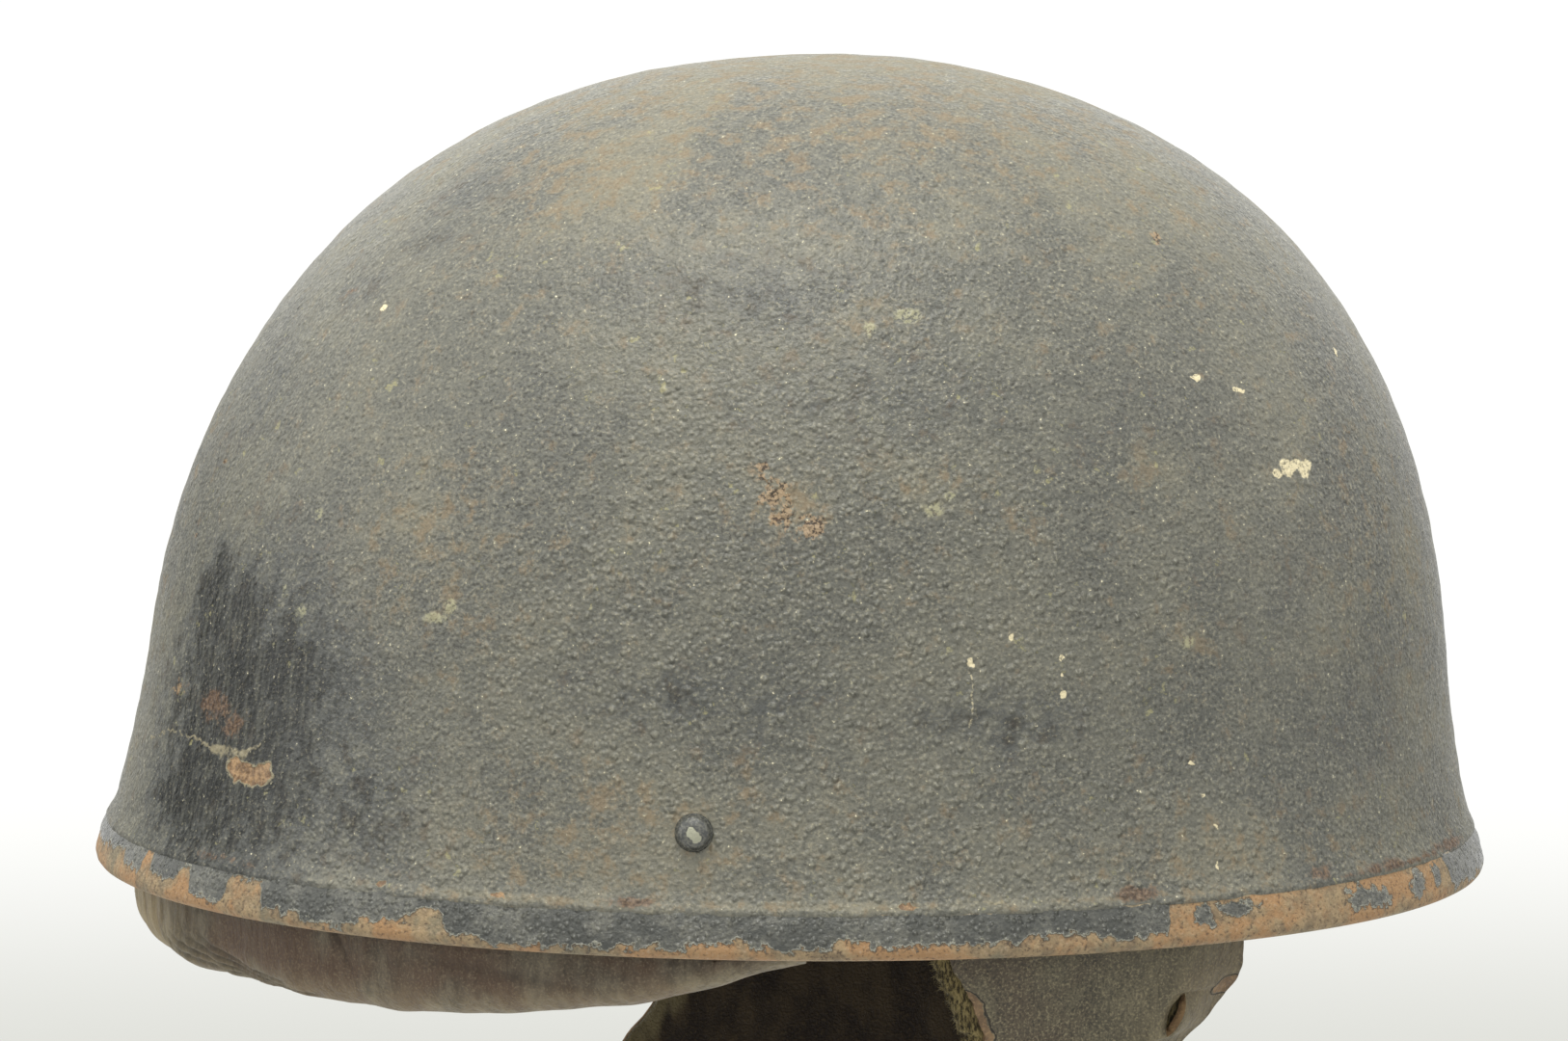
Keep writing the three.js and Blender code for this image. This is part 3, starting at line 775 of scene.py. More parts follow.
def binding_section():
    """The closed section as (depth below the skin, height above the rim); its top is beaten thin."""
    outer_depth = -gap - binding_wall
    inner_depth = steel_wall + gap + binding_wall
    middle = (outer_depth + inner_depth) / 2
    fold = (inner_depth - outer_depth) / 2
    lip = lip_thickness / 2
    outer_lip = (-gap - lip, binding_outer_leg - lip)
    inner_lip = (inner_depth - binding_wall / 2, binding_inner_leg - binding_wall / 2)
    points = arc(outer_lip, lip, math.pi / 2, math.pi, 4)
    fall = outer_lip[1] - full_thickness_height
    for t in np.linspace(0.1, 1, 8):
        depth = lerp(-gap - lip_thickness, outer_depth, smooth_step(t, 0, 1))
        points.append((depth, outer_lip[1] - t * fall))
    points += arc((middle, fold), fold, math.pi, 2 * math.pi, 13)
    points += arc(inner_lip, binding_wall / 2, 0, math.pi, 5)
    points += arc((middle, fold), fold - binding_wall, 2 * math.pi, math.pi, 9)
    points += arc(outer_lip, lip, 0, math.pi / 2, 4)
    return points


def along_section(points, share):
    """The point at a share of a closed section's length."""
    line = np.array(points)
    lengths = np.cumsum([0, *np.linalg.norm(np.diff(line, axis=0), axis=1)])
    at = share * lengths[-1]
    return float(np.interp(at, lengths, line[:, 0])), float(np.interp(at, lengths, line[:, 1]))


def rim_binding():
    """The folded strip round the bowl's lower edge, slightly uneven as a hand-hammered fold is."""
    section = binding_section()
    steps = [along_section(section, k / binding_turns) for k in range(binding_turns + 1)]
    line_height = binding_outer_leg - 0.4 * mm

    def place(u, v):
        depth, height = steps[round(v * binding_turns)]
        angle = 2 * math.pi * u
        circle = Vector((math.cos(angle), math.sin(angle), 0))
        outside = smooth_step(-depth, -0.2 * mm, 0.6 * mm)
        bulge = noise.noise(circle * 14) * 0.18 * mm * outside
        kept = smooth_step(paint_over(half_turn(u), height / mm), -0.3, 0.5)
        lumps = noise.noise(circle * 56 + Vector((0, 0, height / (2.4 * mm)))) * 0.2 * mm
        bulge += (0.12 * mm + lumps) * kept * outside
        sway = noise.noise(circle * 22 + Vector((0, 0, 5))) * 0.3 * mm
        lift = sway * smooth_step(height, 4 * mm, 9 * mm)
        return bowl_point(angle, height + lift, depth - bulge)

    def over(u, v):
        depth, height = steps[round(v * binding_turns)]
        return paint_over(half_turn(u), height / mm) if depth < 0 else -3.0

    def up(u, v):
        return (steps[round(v * binding_turns)][1] - line_height) / mm

    def crack(u, v):
        turn = half_turn(u)
        outer = steps[round(v * binding_turns)][0] < -gap
        spans = zip(column(binding_top_cracks, "from_turn"), column(binding_top_cracks, "to_turn"))
        return outer * max(
            smooth_step(turn, a, a + 2) * smooth_step(-turn, -b, -b + 2) for a, b in spans)

    bm = bmesh.new()
    moved_grid(bm, binding_columns, binding_turns, place, over=over, up=up, crack=crack)
    bmesh.ops.remove_doubles(bm, verts=bm.verts, dist=weld)
    return finished(bm, "rim_binding", binding_finish())


binding = rim_binding()
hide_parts("rim_band")

# %% [markdown]
# ## The rivets
# One rivet on each side goes through the bowl and the leather ring inside. Its head was painted with
# the bowl, so it is glossy, and a flake has come off the middle. A lathe would turn it: half of the
# outline is drawn as a chain of points, and `spin` turns it into a solid.

# %% Rivet finish
rivet_height = 23.4 * mm
rivet_sides = (-90, 90)
head_radius = 3.3 * mm
head_height = 2.4 * mm


def rivet_finish():
    """Glossy dark paint with a grey-green flake in the middle of each head."""
    material, where = new_finish("rivet_paint", specular=0.6)
    grit = speckle(0.6 * mm, where, detail=3)
    flakes = []
    for turn, down, wide in ((0, 0, 0.9), (0.35, 0.8, 0.8)):
        flake = {"height": rivet_height / mm - down, "wide": wide, "high": 1.2, "out": head_height}
        flakes += [{**flake, "turn": side + turn} for side in rivet_sides]
    astray = wandering(where, 1.4 * mm, 0.4 * mm)
    bare = ramp(spot_distance(astray, flakes), 0.95, 1.05, 1, 0)
    colour = coats(
        (0.032, 0.034, 0.033),
        (ramp(grit, 0.4, 0.66), (0.085, 0.084, 0.072)),
        (bare, (0.24, 0.24, 0.18)))
    relief = minus(times(grit, 0.2 * mm), times(bare, 0.12 * mm))
    return dressed(material, colour, ramp(bare, 0, 1, 0.16, 0.5), relief)


# %% Rivet meshes
shank_radius = 1.6 * mm
tail_radius = 3.2 * mm
tail_height = 1.2 * mm
spin_steps = 48


def rivet_outline():
    """Half of the rivet's outline, as (radius, height over the skin), from tail to head."""
    tail_low = -(leather_depth + tail_height)
    outline = [(0, tail_low), (tail_radius * 0.8, tail_low), (tail_radius, tail_low + 0.4 * mm)]
    outline += [(tail_radius, -leather_depth), (shank_radius, -leather_depth)]
    outline += [(shank_radius, gap), (head_radius * 1.12, gap * 0.5)]
    outline += [(head_radius * 1.06, gap), (head_radius * 1.01, gap * 2)]
    turns = np.linspace(0.12, math.pi / 2, 14)
    outline += [(head_radius * math.cos(t), 2 * gap + (head_height - gap) * math.sin(t)) for t in turns]
    return outline


def rivet(name, node, side, material):
    """A turned rivet, laid along the bowl's normal at its side."""
    bm = bmesh.new()
    corners = [bm.verts.new((radius, 0, height)) for radius, height in rivet_outline()]
    chain = [bm.edges.new(pair) for pair in zip(corners, corners[1:])]
    bmesh.ops.spin(
        bm, geom=corners + chain, axis=(0, 0, 1), cent=(0, 0, 0),
        angle=2 * math.pi, steps=spin_steps, use_merge=True)
    bmesh.ops.remove_doubles(bm, verts=bm.verts, dist=weld)
    angle = math.radians(side)
    rise = rivet_height / crown_height
    turned = bowl_normal(angle, rise).to_track_quat("Z", "X").to_matrix().to_4x4()
    laid = Matrix.Translation(bowl_skin(angle, rise)) @ turned
    bmesh.ops.transform(bm, matrix=laid, verts=bm.verts)
    piece = finished(bm, name, material)
    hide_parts(node)


rivet_material = rivet_finish()
rivet("right_rivet_head", "right_rivet", rivet_sides[0], rivet_material)
rivet("left_rivet_head", "left_rivet", rivet_sides[1], rivet_material)

# %% [markdown]
# ## Leather
# The leather is chrome-tanned hide that has dried out. Its grain side is a grey-brown with fine pores
# and broad redder clouds, paler in places where a painted sheen is laid on, and painted darker as shade
# in its creases. Its flesh side and its cut edges are a raw orange-brown. Both finishes read Object
# coordinates, so they need no unwrapping.

# %% Leather finishes
def raw_colour(where):
    """The flesh side: its fibrous, orange-brown colour, and its fibres."""
    mottle = speckle(4 * mm, where, detail=4, roughness=0.65)
    fibre = speckle(0.5 * mm, where, detail=3, roughness=0.7)
    colour = coats(
        (0.085, 0.052, 0.028),
        (ramp(mottle, 0.35, 0.65), (0.18, 0.115, 0.06)),
        (ramp(fibre, 0.5, 0.75, 0, 0.6), (0.27, 0.185, 0.1)))
    return colour, fibre


def grain_leather(name, dark, light, red, pored):
    """The grain side: wrinkled, with pores as strong as pored, and strips worn to the raw hide."""
    material, where = new_finish(name, specular=0.35)
    drawn = place_of(where, stretch=(1, 1, 0.35))
    clouds = speckle(20 * mm, where, detail=4)
    mottle = speckle(3 * mm, drawn, detail=4, roughness=0.68)
    fine = speckle(0.5 * mm, where, detail=2, roughness=0.6)
    wrinkles = speckle(1.5 * mm, drawn, detail=2, warp=0.5)
    # Painted sheen, partly paler leather: where this layer is high, the grain side turns a pale
    # olive-tan.
    bloom = times(painted_on(where, "bloom"), ramp(mottle, 0.3, 0.7, 0.5, 1))
    raw = raw_colour(where)[0]
    strip = plus(painted_on(where, "strip"), ramp(mottle, 0.3, 0.7, -0.06, 0.06))
    seam = ramp(size_of(minus(strip, 0.64)), 0.015, 0.04, 1, 0)
    scuffed = most(ramp(strip, 0.68, 0.74), ramp(mottle, 0.7, 0.74, 0, 0.6))
    colour = coats(
        dark,
        (ramp(mottle, 0.32, 0.68), light),
        (ramp(clouds, 0.42, 0.62, 0, 0.8), red),
        (ramp(fine, 0.5, 0.7, 0, pored), [2 * c for c in light]),
        (ramp(fine, 0.48, 0.32, 0, pored), [0.35 * c for c in dark]),
        (bloom, (0.25, 0.205, 0.12)),
        # painted shade in the creases
        (painted_on(where, "crease"), [0.3 * c for c in dark]),
        (scuffed, raw),
        (times(seam, 0.85), (0.012, 0.009, 0.007)))
    relief = plus(times(wrinkles, 0.7 * mm), times(fine, 0.16 * mm), times(mottle, 0.4 * mm))
    relief = minus(relief, times(seam, 0.3 * mm))
    return dressed(material, colour, ramp(fine, 0.3, 0.7, 0.5, 0.75), relief)


def raw_leather(name):
    """The flesh side and the cut edges."""
    material, where = new_finish(name, specular=0.2)
    colour, fibre = raw_colour(where)
    return dressed(material, colour, ramp(fibre, 0.3, 0.7, 0.8, 0.95), times(fibre, 0.3 * mm))


grain_side = grain_leather(
    "curtain_leather", (0.045, 0.035, 0.023), (0.108, 0.09, 0.062), (0.06, 0.031, 0.017), 0.35)
flap_grain = grain_leather(
    "flap_leather", (0.046, 0.04, 0.027), (0.09, 0.078, 0.05), (0.056, 0.041, 0.027), 0.75)
raw_side = raw_leather("raw_leather")

# %% [markdown]
# Leather that hangs from the inside of the wall follows it for a few millimetres, then falls
# straight. `hanging_point` says where, and `hanging_at_x` does the same for a place along the
# helmet's length, which is how the flaps' outlines are given.

# %% Hanging leather
def hanging_point(angle, height, depth, inward=0.0):
    """A point of leather that follows the wall down to hang_height and hangs free below it."""
    point = bowl_point(angle, max(height, hang_height), depth)
    inside = bowl_normal(angle, hang_height / crown_height)
    inside = Vector((inside.x, inside.y, 0)).normalized()
    point.z += min(0.0, height - hang_height)
    return point - inside * inward


def angle_at_x(x, height, side):
    """The angle at which the bowl, at a height, lies at x; side is -1 on the wearer's right."""
    rise = max(height, hang_height) / crown_height
    middle = crown_lean * (rise - 1)
    reach = abs(bowl_skin(0 if x > middle else math.pi, rise).x - middle)
    return side * math.acos(max(-1.0, min(1.0, (x - middle) / reach)))


def hanging_at_x(x, height, side, depth, inward):
    """A point of hanging leather that lies at x itself, whatever its depth moves it along X."""
    aim = x
    for _ in range(4):
        point = hanging_point(angle_at_x(aim, height, side), height, depth, inward)
        aim += x - point.x
    return point


def leather_wall(piece, thickness):
    """Gives a sheet its thickness inwards, with raw cut edges rounded a little."""
    solid = piece.modifiers.new("thickness", "SOLIDIFY")
    solid.thickness = thickness
    solid.offset = -1
    solid.use_even_offset = True
    solid.material_offset = 1
    solid.material_offset_rim = 1
    soft = piece.modifiers.new("cut edge", "BEVEL")
    soft.width = thickness * 0.25
    soft.segments = 2
    soft.limit_method = "ANGLE"
    soft.angle_limit = math.radians(60)


def flat_size(place, steps=48):
    """What a sheet measured before it was hung: its widest row by its longest column, and its area."""
    shares = [k / steps for k in range(steps + 1)]
    grid = np.array([[place(u, v) for u in shares] for v in shares])
    across = np.linalg.norm(np.diff(grid, axis=1), axis=2)
    down = np.linalg.norm(np.diff(grid, axis=0), axis=2)
    size = (float(across.sum(axis=1).max()), float(down.sum(axis=0).max()))
    area = float((across[1:] * down[:, 1:]).sum())
    print(f"  flat: {size[0] / mm:.0f} by {size[1] / mm:.0f} mm, {area * 1e4:.0f} square cm")
    return size, min(area, size[0] * size[1])


def declare_sheet(place):
    """Measures a sheet that hangs from the ring, from its formula, and prints its flat size."""
    size, area = flat_size(place)


# %% [markdown]
# ## The ring inside
# Nothing in the picture shows how the curtain and the flaps are fixed, so the file has the plain
# ring of leather that must carry them, riveted inside the wall.

# %% Fixing ring
ring_low = 10 * mm
ring_high = 34 * mm
ring_columns = 240
ring_rows = 6


def fixing_ring():
    """A plain ring of leather just inside the steel."""
    def face(depth):
        return lambda u, v: bowl_point(2 * math.pi * u, lerp(ring_low, ring_high, v), depth)

    bm = bmesh.new()
    moved_grid(bm, ring_columns, ring_rows, face(ring_depth))
    moved_grid(bm, ring_columns, ring_rows, face(ring_depth + ring_leather))
    bmesh.ops.remove_doubles(bm, verts=bm.verts, dist=weld)
    for height in (ring_low, ring_high):
        edges = [e for e in bm.edges if e.is_boundary]
        edges = [e for e in edges if abs(e.verts[0].co.z - height + rim_drop) < 1.5 * mm]
        bmesh.ops.bridge_loops(bm, edges=edges)
    return finished(bm, "fixing_ring", grain_side)


ring = fixing_ring()
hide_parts("leather_band")

# %% [markdown]
# ## The neck curtain
# One strip of leather hangs round the back. Years in one position have rolled its lower edge inwards
# and pressed folds and creases into it. The strip is a grid: its columns go round the neck, its rows go
# down the wall, fall free, and turn in round the roll. Creases are grooves along short lines, and their
# grooves are painted darker as shade. The back and the bottom of the roll are painted paler, partly as
# painted sheen.

# %% Curtain tables
# turn is counted from the middle of the back towards the wearer's right; sizes are millimetres
curtain_hem = rows(
    "turn drop roll",
    (0, 18.5, 10), (22, 16.6, 9.5), (45, 15.8, 8.5), (62, 16.6, 8), (75, 14, 7.5), (84, 11.3, 7),
    (91, 7.6, 6), (99, 0.6, 5))
right_curtain_turn = 99
left_curtain_turn = 78
roll_turn = 5 * math.pi / 6
curtain_folds = rows(
    "turn width depth",
    (-52, 9, 1.6), (-20, 7, 1.2), (24, 6, 1.5), (41, 5, 1.4), (63, 12, 0.9))
# each crease runs from one turn and share of the way down to another, bowed by bow millimetres
curtain_creases = rows(
    "from_turn from_down to_turn to_down bow width depth",
    (30, 0.52, 58, 0.75, 3.0, 0.8, 1.0), (33, 0.50, 54, 0.69, 2.6, 0.8, 0.9),
    (36, 0.49, 50, 0.63, 2.2, 0.8, 0.75), (27, 0.55, 62, 0.80, 3.4, 0.9, 0.8),
    (54.5, 0.16, 58.5, 0.5, 0.6, 0.7, 0.7), (24, 0.2, 29, 0.55, -0.8, 0.8, 0.4),
    (30, 0.18, 33, 0.48, 0.8, 0.7, 0.35), (36, 0.2, 37, 0.44, 0.5, 0.7, 0.3),
    (64, 0.42, 82, 0.58, -1.5, 1.2, 0.35), (72, 0.3, 90, 0.42, -1.2, 1.2, 0.35),
    (-30, 0.4, -48, 0.64, 2, 0.9, 0.5), (-5, 0.3, -12, 0.6, 1, 0.8, 0.45))

# %% Curtain mesh
curtain_columns = 440
curtain_rows = 84
wall_share = 0.14
fall_share = 0.5
mm_per_turn = 2.1
mm_per_drop = 54
raw_from_turn = 79


def hem_at(turn, name):
    """A column of the curtain's table read at a turn, as a smooth curve through its rows."""
    near = np.abs(np.linspace(turn - 5, turn + 5, 9))
    read = np.interp(near, column(curtain_hem, "turn"), column(curtain_hem, name))
    return float(np.mean(read)) * mm


def groove(turn, down, crease):
    """How deep a crease is at a turn and a share of the way down, in millimetres."""
    start_across, start_down = crease["from_turn"] * mm_per_turn, crease["from_down"] * mm_per_drop
    across = crease["to_turn"] * mm_per_turn - start_across
    along = crease["to_down"] * mm_per_drop - start_down
    x, y = turn * mm_per_turn - start_across, down * mm_per_drop - start_down
    length = math.hypot(across, along)
    share = (x * across + y * along) / length**2
    if not 0 < share < 1:
        return 0.0
    arch = 4 * share * (1 - share)
    off = (x * along - y * across) / length + crease["bow"] * arch
    return crease["depth"] * math.sqrt(arch) * bell(off, 0, crease["width"])


def curtain_turn(u):
    """The turn at a share of the way round the curtain."""
    return lerp(-left_curtain_turn, right_curtain_turn, u)


def curtain_place(u, v):
    """A point of the curtain: u goes round the neck and v down the wall and round the roll."""
    turn = curtain_turn(u)
    along = -turn / left_curtain_turn * right_curtain_turn if turn < 0 else turn
    angle = math.pi + math.radians(turn)
    if v <= wall_share:
        height = lerp(leather_top, hang_height, v / wall_share)
        return hanging_point(angle, height, leather_depth)
    radius = hem_at(along, "roll")
    roll_height = radius - hem_at(along, "drop")
    pressed = sum(f["depth"] * bell(turn, f["turn"], f["width"]) for f in curtain_folds)
    around = Vector((math.cos(angle), math.sin(angle), 0))
    soft = noise.noise(around * 9 + Vector((0, 0, v * 2.2))) * 0.9
    soft += noise.noise(around * 24 + Vector((0, 0, v * 3))) * 0.4
    ribs = noise.noise(around * 75 + Vector((0, 0, v * 2.5))) * 0.5
    soft += ribs * (0.35 + bell(turn, 30, 14))
    free = smooth_step(v, wall_share, fall_share)
    inward = (pressed + soft) * mm * free
    grooves = sum(groove(turn, v, crease) for crease in curtain_creases) * mm
    if v <= fall_share:
        height = lerp(hang_height, roll_height, (v - wall_share) / (fall_share - wall_share))
        return hanging_point(angle, height, leather_depth, inward + grooves)
    rolled = (v - fall_share) / (1 - fall_share) * roll_turn
    drawn = radius * (1 + 0.05 * noise.noise(around * 16 + Vector((0, 0, 7)))) - grooves
    inward += radius - drawn * math.cos(rolled)
    return hanging_point(angle, roll_height - drawn * math.sin(rolled), leather_depth, inward)


def curtain_strip(u, v):
    """Where the rising end of the roll shows its raw, turned-over hem."""
    turn = curtain_turn(u)
    return smooth_step(turn, raw_from_turn, raw_from_turn + 6) * smooth_step(v, 0.66, 0.8)


def curtain_crease_shade(u, v):
    """How dark a crease is painted as shade, from the depth of its groove."""
    turn = curtain_turn(u)
    return min(0.75, 0.8 * sum(groove(turn, v, crease) for crease in curtain_creases))


def curtain_pallor_and_sheen(u, v):
    """Partly paler leather, partly painted sheen: at the back and along the bottom of the roll."""
    turn = curtain_turn(u)
    back = 0.9 * smooth_step(-turn, -42, -16) * smooth_step(v, 0.1, 0.4)
    bottom = 0.32 * smooth_step(v, 0.5, 0.66)
    return max(back, bottom)


def neck_curtain():
    """The rolled and creased leather strip."""
    bm = bmesh.new()
    layers = {"strip": curtain_strip, "crease": curtain_crease_shade, "bloom": curtain_pallor_and_sheen}
    moved_grid(bm, curtain_columns, curtain_rows, curtain_place, **layers)
    bmesh.ops.recalc_face_normals(bm, faces=bm.faces)
    backmost = min(bm.faces, key=lambda face: face.calc_center_median().x)
    if backmost.normal.x > 0:
        bmesh.ops.reverse_faces(bm, faces=bm.faces)
    return finished(bm, "leather_neck_curtain", grain_side, raw_side)


curtain = neck_curtain()
leather_wall(curtain, curtain_leather)
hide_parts("neck_curtain")
declare_sheet(curtain_place)

# %% [markdown]
# ## The flaps
# The wearer's right flap has torn and shrunk to a narrow tab with a slot for a strap near its front.
# The left one is a broad lobe. Each is a sheet between a rear and a front edge, given at a few
# heights. A smooth curve through those rows makes the outline, and a little noise frays it.

# %% Flap tables
# rear and front are where the edges lie along the helmet's length, at each height
right_flap_outline = rows(
    "height rear front",
    (20, 47, 102), (8, 47.5, 102), (-2, 48.5, 101.5), (-9, 52.5, 101), (-13, 53.8, 96.8),
    (-16, 54.7, 95.6), (-21, 56, 89.5), (-32, 58, 88), (-46, 59.5, 87), (-57, 62.5, 84.5),
    (-61, 68, 79))
right_felt_outline = rows(
    "height rear front",
    (20, 44, 94), (-2, 44.6, 94), (-8, 47.2, 93.5), (-13, 49, 92.5), (-18, 50.8, 89.5), (-24, 53, 85),
    (-44, 62, 81.5))
left_flap_outline = rows(
    "height rear front",
    (20, -16, 83), (0, -17, 83), (-24, -24, 82), (-40, -36, 79.5), (-52, -45.6, 75.5), (-61, -53, 70),
    (-74, -58, 62.5), (-87, -56, 53), (-98, -45, 39), (-105, -25, 18))
right_lean = 0.1
left_lean = 0.14
front_curl = 3.5 * mm
curl_start = 0.86


# %% Flap helpers
outline_softness = 0.025


def edge_at(outline, share, name):
    """A column of an outline at a share of the way down its length, as a smooth curve."""
    heights = column(outline, "height")
    down = np.cumsum([0] + [a - b for a, b in zip(heights, heights[1:])])
    near = np.linspace(share - outline_softness, share + outline_softness, 7)
    read = np.interp(np.clip(near, 0, 1) * down[-1], down, column(outline, name))
    return float(np.mean(read)) * mm


ridge_place = 0.8
ridge_width = 0.06


def flap_place(outline, side, depth, lean, curl=0.0, fray=0.0, buckle=0.0, ridge=0.0):
    """A function that places a flap's grid: u goes from the rear edge to the front edge, v down."""
    def place(u, v):
        height = edge_at(outline, v, "height")
        frayed = fray * smooth_step(-height, -8 * mm, 4 * mm)
        ragged = noise.noise(Vector((v * 40, side, 0)))
        ragged += 0.6 * noise.noise(Vector((v * 110, side, 3)))
        rear = edge_at(outline, v, "rear") + frayed * ragged
        front = edge_at(outline, v, "front") + 0.5 * frayed * noise.noise(Vector((v * 36, side, 9)))
        x = lerp(rear, front, u) - crown_lean
        hung = max(0.0, hang_height - height)
        curled = curl * smooth_step(u, curl_start, 1) * min(1.0, hung / hang_height)
        spot = Vector((x / (15 * mm), height / (30 * mm), side))
        waves = buckle * noise.noise(spot) - ridge * bell(u, ridge_place, ridge_width)
        waves *= smooth_step(hung, 0, 25 * mm)
        return hanging_at_x(x, height, side, depth, lean * hung + curled + waves)
    return place


def flap_sheet(columns, lines, place, side, **layers):
    """A sheet that faces away from the head."""
    bm = bmesh.new()
    moved_grid(bm, columns, lines, place, **layers)
    bmesh.ops.recalc_face_normals(bm, faces=bm.faces)
    if sum(face.normal.y * face.calc_area() for face in bm.faces) * side < 0:
        bmesh.ops.reverse_faces(bm, faces=bm.faces)
    return bm


# %% [markdown]
# The strap slot is a cut that has been pulled open. So the mesh does what a knife and a thumb do: it
# splits a short run of edges, then pushes the two sides apart, most in the middle.

# %% Right flap
slot_x = 89.6 * mm - crown_lean
slot_height = -14.5 * mm
slot_length = 8.5 * mm
slot_opening = 1.5 * mm
slot_slant = 0.34
slot_reach = 6 * mm
slot_pucker = 0.9 * mm
flap_columns = 84
flap_rows = 120


def open_slot(bm):
    """Splits the grid along one column in the slot's length and draws the two sides apart."""
    bm.verts.ensure_lookup_table()
    heights = [edge_at(right_flap_outline, k / flap_rows, "height") for k in range(flap_rows + 1)]
    inside = [k for k, height in enumerate(heights) if abs(height - slot_height) < slot_length / 2]
    wide = flap_columns + 1
    levels = [[bm.verts[k * wide + c] for c in range(wide)] for k in inside]
    middle = levels[len(levels) // 2]
    slit = min(range(wide), key=lambda c: abs(middle[c].co.x - slot_x))
    shares = [2 * (heights[k] - slot_height) / slot_length for k in inside]
    for row, share in zip(levels, shares):
        line = slot_x + share * slot_slant * slot_length / 2
        apart = slot_opening * (1 - share**2)
        drawn = line - row[slit].co.x
        for c, corner in enumerate(row):
            near = smooth_step(slot_reach - abs(c - slit) * 0.6 * mm, 0, slot_reach)
            corner.co.x += drawn * near
            off = abs(corner.co.x - line)
            if c != slit and off < slot_reach:
                corner.co.x += math.copysign(apart * (1 - off / slot_reach), c - slit)
    line = {row[slit] for row in levels}
    share_at = {row[slit].co.z: share for row, share in zip(levels, shares)}
    cut = [e for e in bm.edges if e.verts[0] in line and e.verts[1] in line]
    bmesh.ops.split_edges(bm, edges=cut)
    lips = [v for v in bm.verts if v.is_boundary and v.co.z in share_at]
    lips = [v for v in lips if abs(v.co.x - slot_x) < 4 * mm]
    for lip in lips:
        own = sum(face.calc_center_median().x for face in lip.link_faces) / len(lip.link_faces)
        open_here = 1 - share_at[lip.co.z] ** 2
        lip.co.x += math.copysign(slot_opening * open_here, own - lip.co.x)
        if own > lip.co.x:
            lip.co.y += slot_pucker * open_here
    print(f"  slot: {len(cut)} edges cut, {len(lips)} lips moved")


right_place = flap_place(
    right_flap_outline, -1, leather_depth, right_lean, curl=front_curl, fray=0.6 * mm,
    buckle=1.5 * mm, ridge=1.3 * mm)


def right_strip(u, v):
    """How near the torn rear edge is: 1 at the edge and 0 where it is 10 mm away."""
    height = edge_at(right_flap_outline, v, "height")
    width = edge_at(right_flap_outline, v, "front") - edge_at(right_flap_outline, v, "rear")
    near = max(0.0, 1 - u * width / (5 * mm)) * smooth_step(-height, 4 * mm, 9 * mm)
    torn_corner = smooth_step(u, 0.88, 0.96) * bell(height, -10.2 * mm, 2.6 * mm)
    return max(near, torn_corner)


def right_pallor_and_sheen(u, v):
    """Painted light: the flap is paler towards its front edge than towards its rear."""
    return 0.28 * smooth_step(u, 0.45, 0.95)


right_bm = flap_sheet(flap_columns, flap_rows, right_place, -1, strip=right_strip, bloom=right_pallor_and_sheen)
open_slot(right_bm)
right_leather = finished(right_bm, "right_flap_leather", flap_grain, raw_side)
leather_wall(right_leather, flap_leather)
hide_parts("right_cheek_flap")
declare_sheet(right_place)

# %% [markdown]
# ## Felt and pile
# Behind the right flap is khaki felt, frayed along its rear edge. The left flap is lined with pile, the
# side that faces the camera, painted dark brown as the deep shade it hangs in and with a painted rim
# light at its edges. Both need loose fibres to look soft. One short, bent fibre is modelled, and
# geometry nodes scatter thousands of copies, turned and sized at random from a seed.

# %% Felt finish and pile finish
def felt_finish():
    """Khaki felt: matted fibres and stains."""
    material, where = new_finish("khaki_felt", specular=0.15, sheen=0.085)
    fibre = speckle(0.5 * mm, place_of(where, stretch=(1, 1, 0.3)), detail=3, roughness=0.7)
    stain = speckle(9 * mm, where, detail=3)
    colour = coats(
        (0.022, 0.017, 0.008),
        (ramp(fibre, 0.38, 0.62), (0.2, 0.16, 0.072)),
        (ramp(stain, 0.45, 0.65, 0, 0.5), (0.1, 0.075, 0.034)))
    return dressed(material, colour, ramp(fibre, 0.3, 0.7, 0.85, 0.98), times(fibre, 0.8 * mm))


def pile_finish():
    """Pile painted dark brown as the deep shade it hangs in, with a painted olive rim light towards its
    edges.
    """
    material, where = new_finish("pile_in_painted_shade", specular=0.2, sheen=0.2, sheen_roughness=0.4)
    locks = speckle(9 * mm, place_of(where, stretch=(1, 1, 0.5)), detail=3, roughness=0.6)
    fibre = speckle(0.6 * mm, where, detail=2)
    # Painted rim light along the pile's rear and lower edges, in olive.
    halo = ramp(plus(painted_on(where, "halo"), ramp(locks, 0.3, 0.7, -0.4, 0.4)), 0.3, 1.1)
    # The pile's colours are kept very dark as painted shade.
    colour = coats(
        (0.008, 0.0045, 0.0025),
        (ramp(locks, 0.4, 0.62), (0.025, 0.0165, 0.008)),
        (ramp(fibre, 0.5, 0.72, 0, 0.5), (0.05, 0.036, 0.019)),
        (times(halo, 0.8), (0.1, 0.082, 0.042)))
    relief = plus(times(locks, 2 * mm), times(fibre, 0.6 * mm))
    return dressed(material, colour, ramp(fibre, 0.3, 0.7, 0.7, 0.95), relief)


felt_material = felt_finish()
pile_material = pile_finish()

# %% Fibres
fibre_sides = 3
fibre_sizes = (0.6, 1.25)


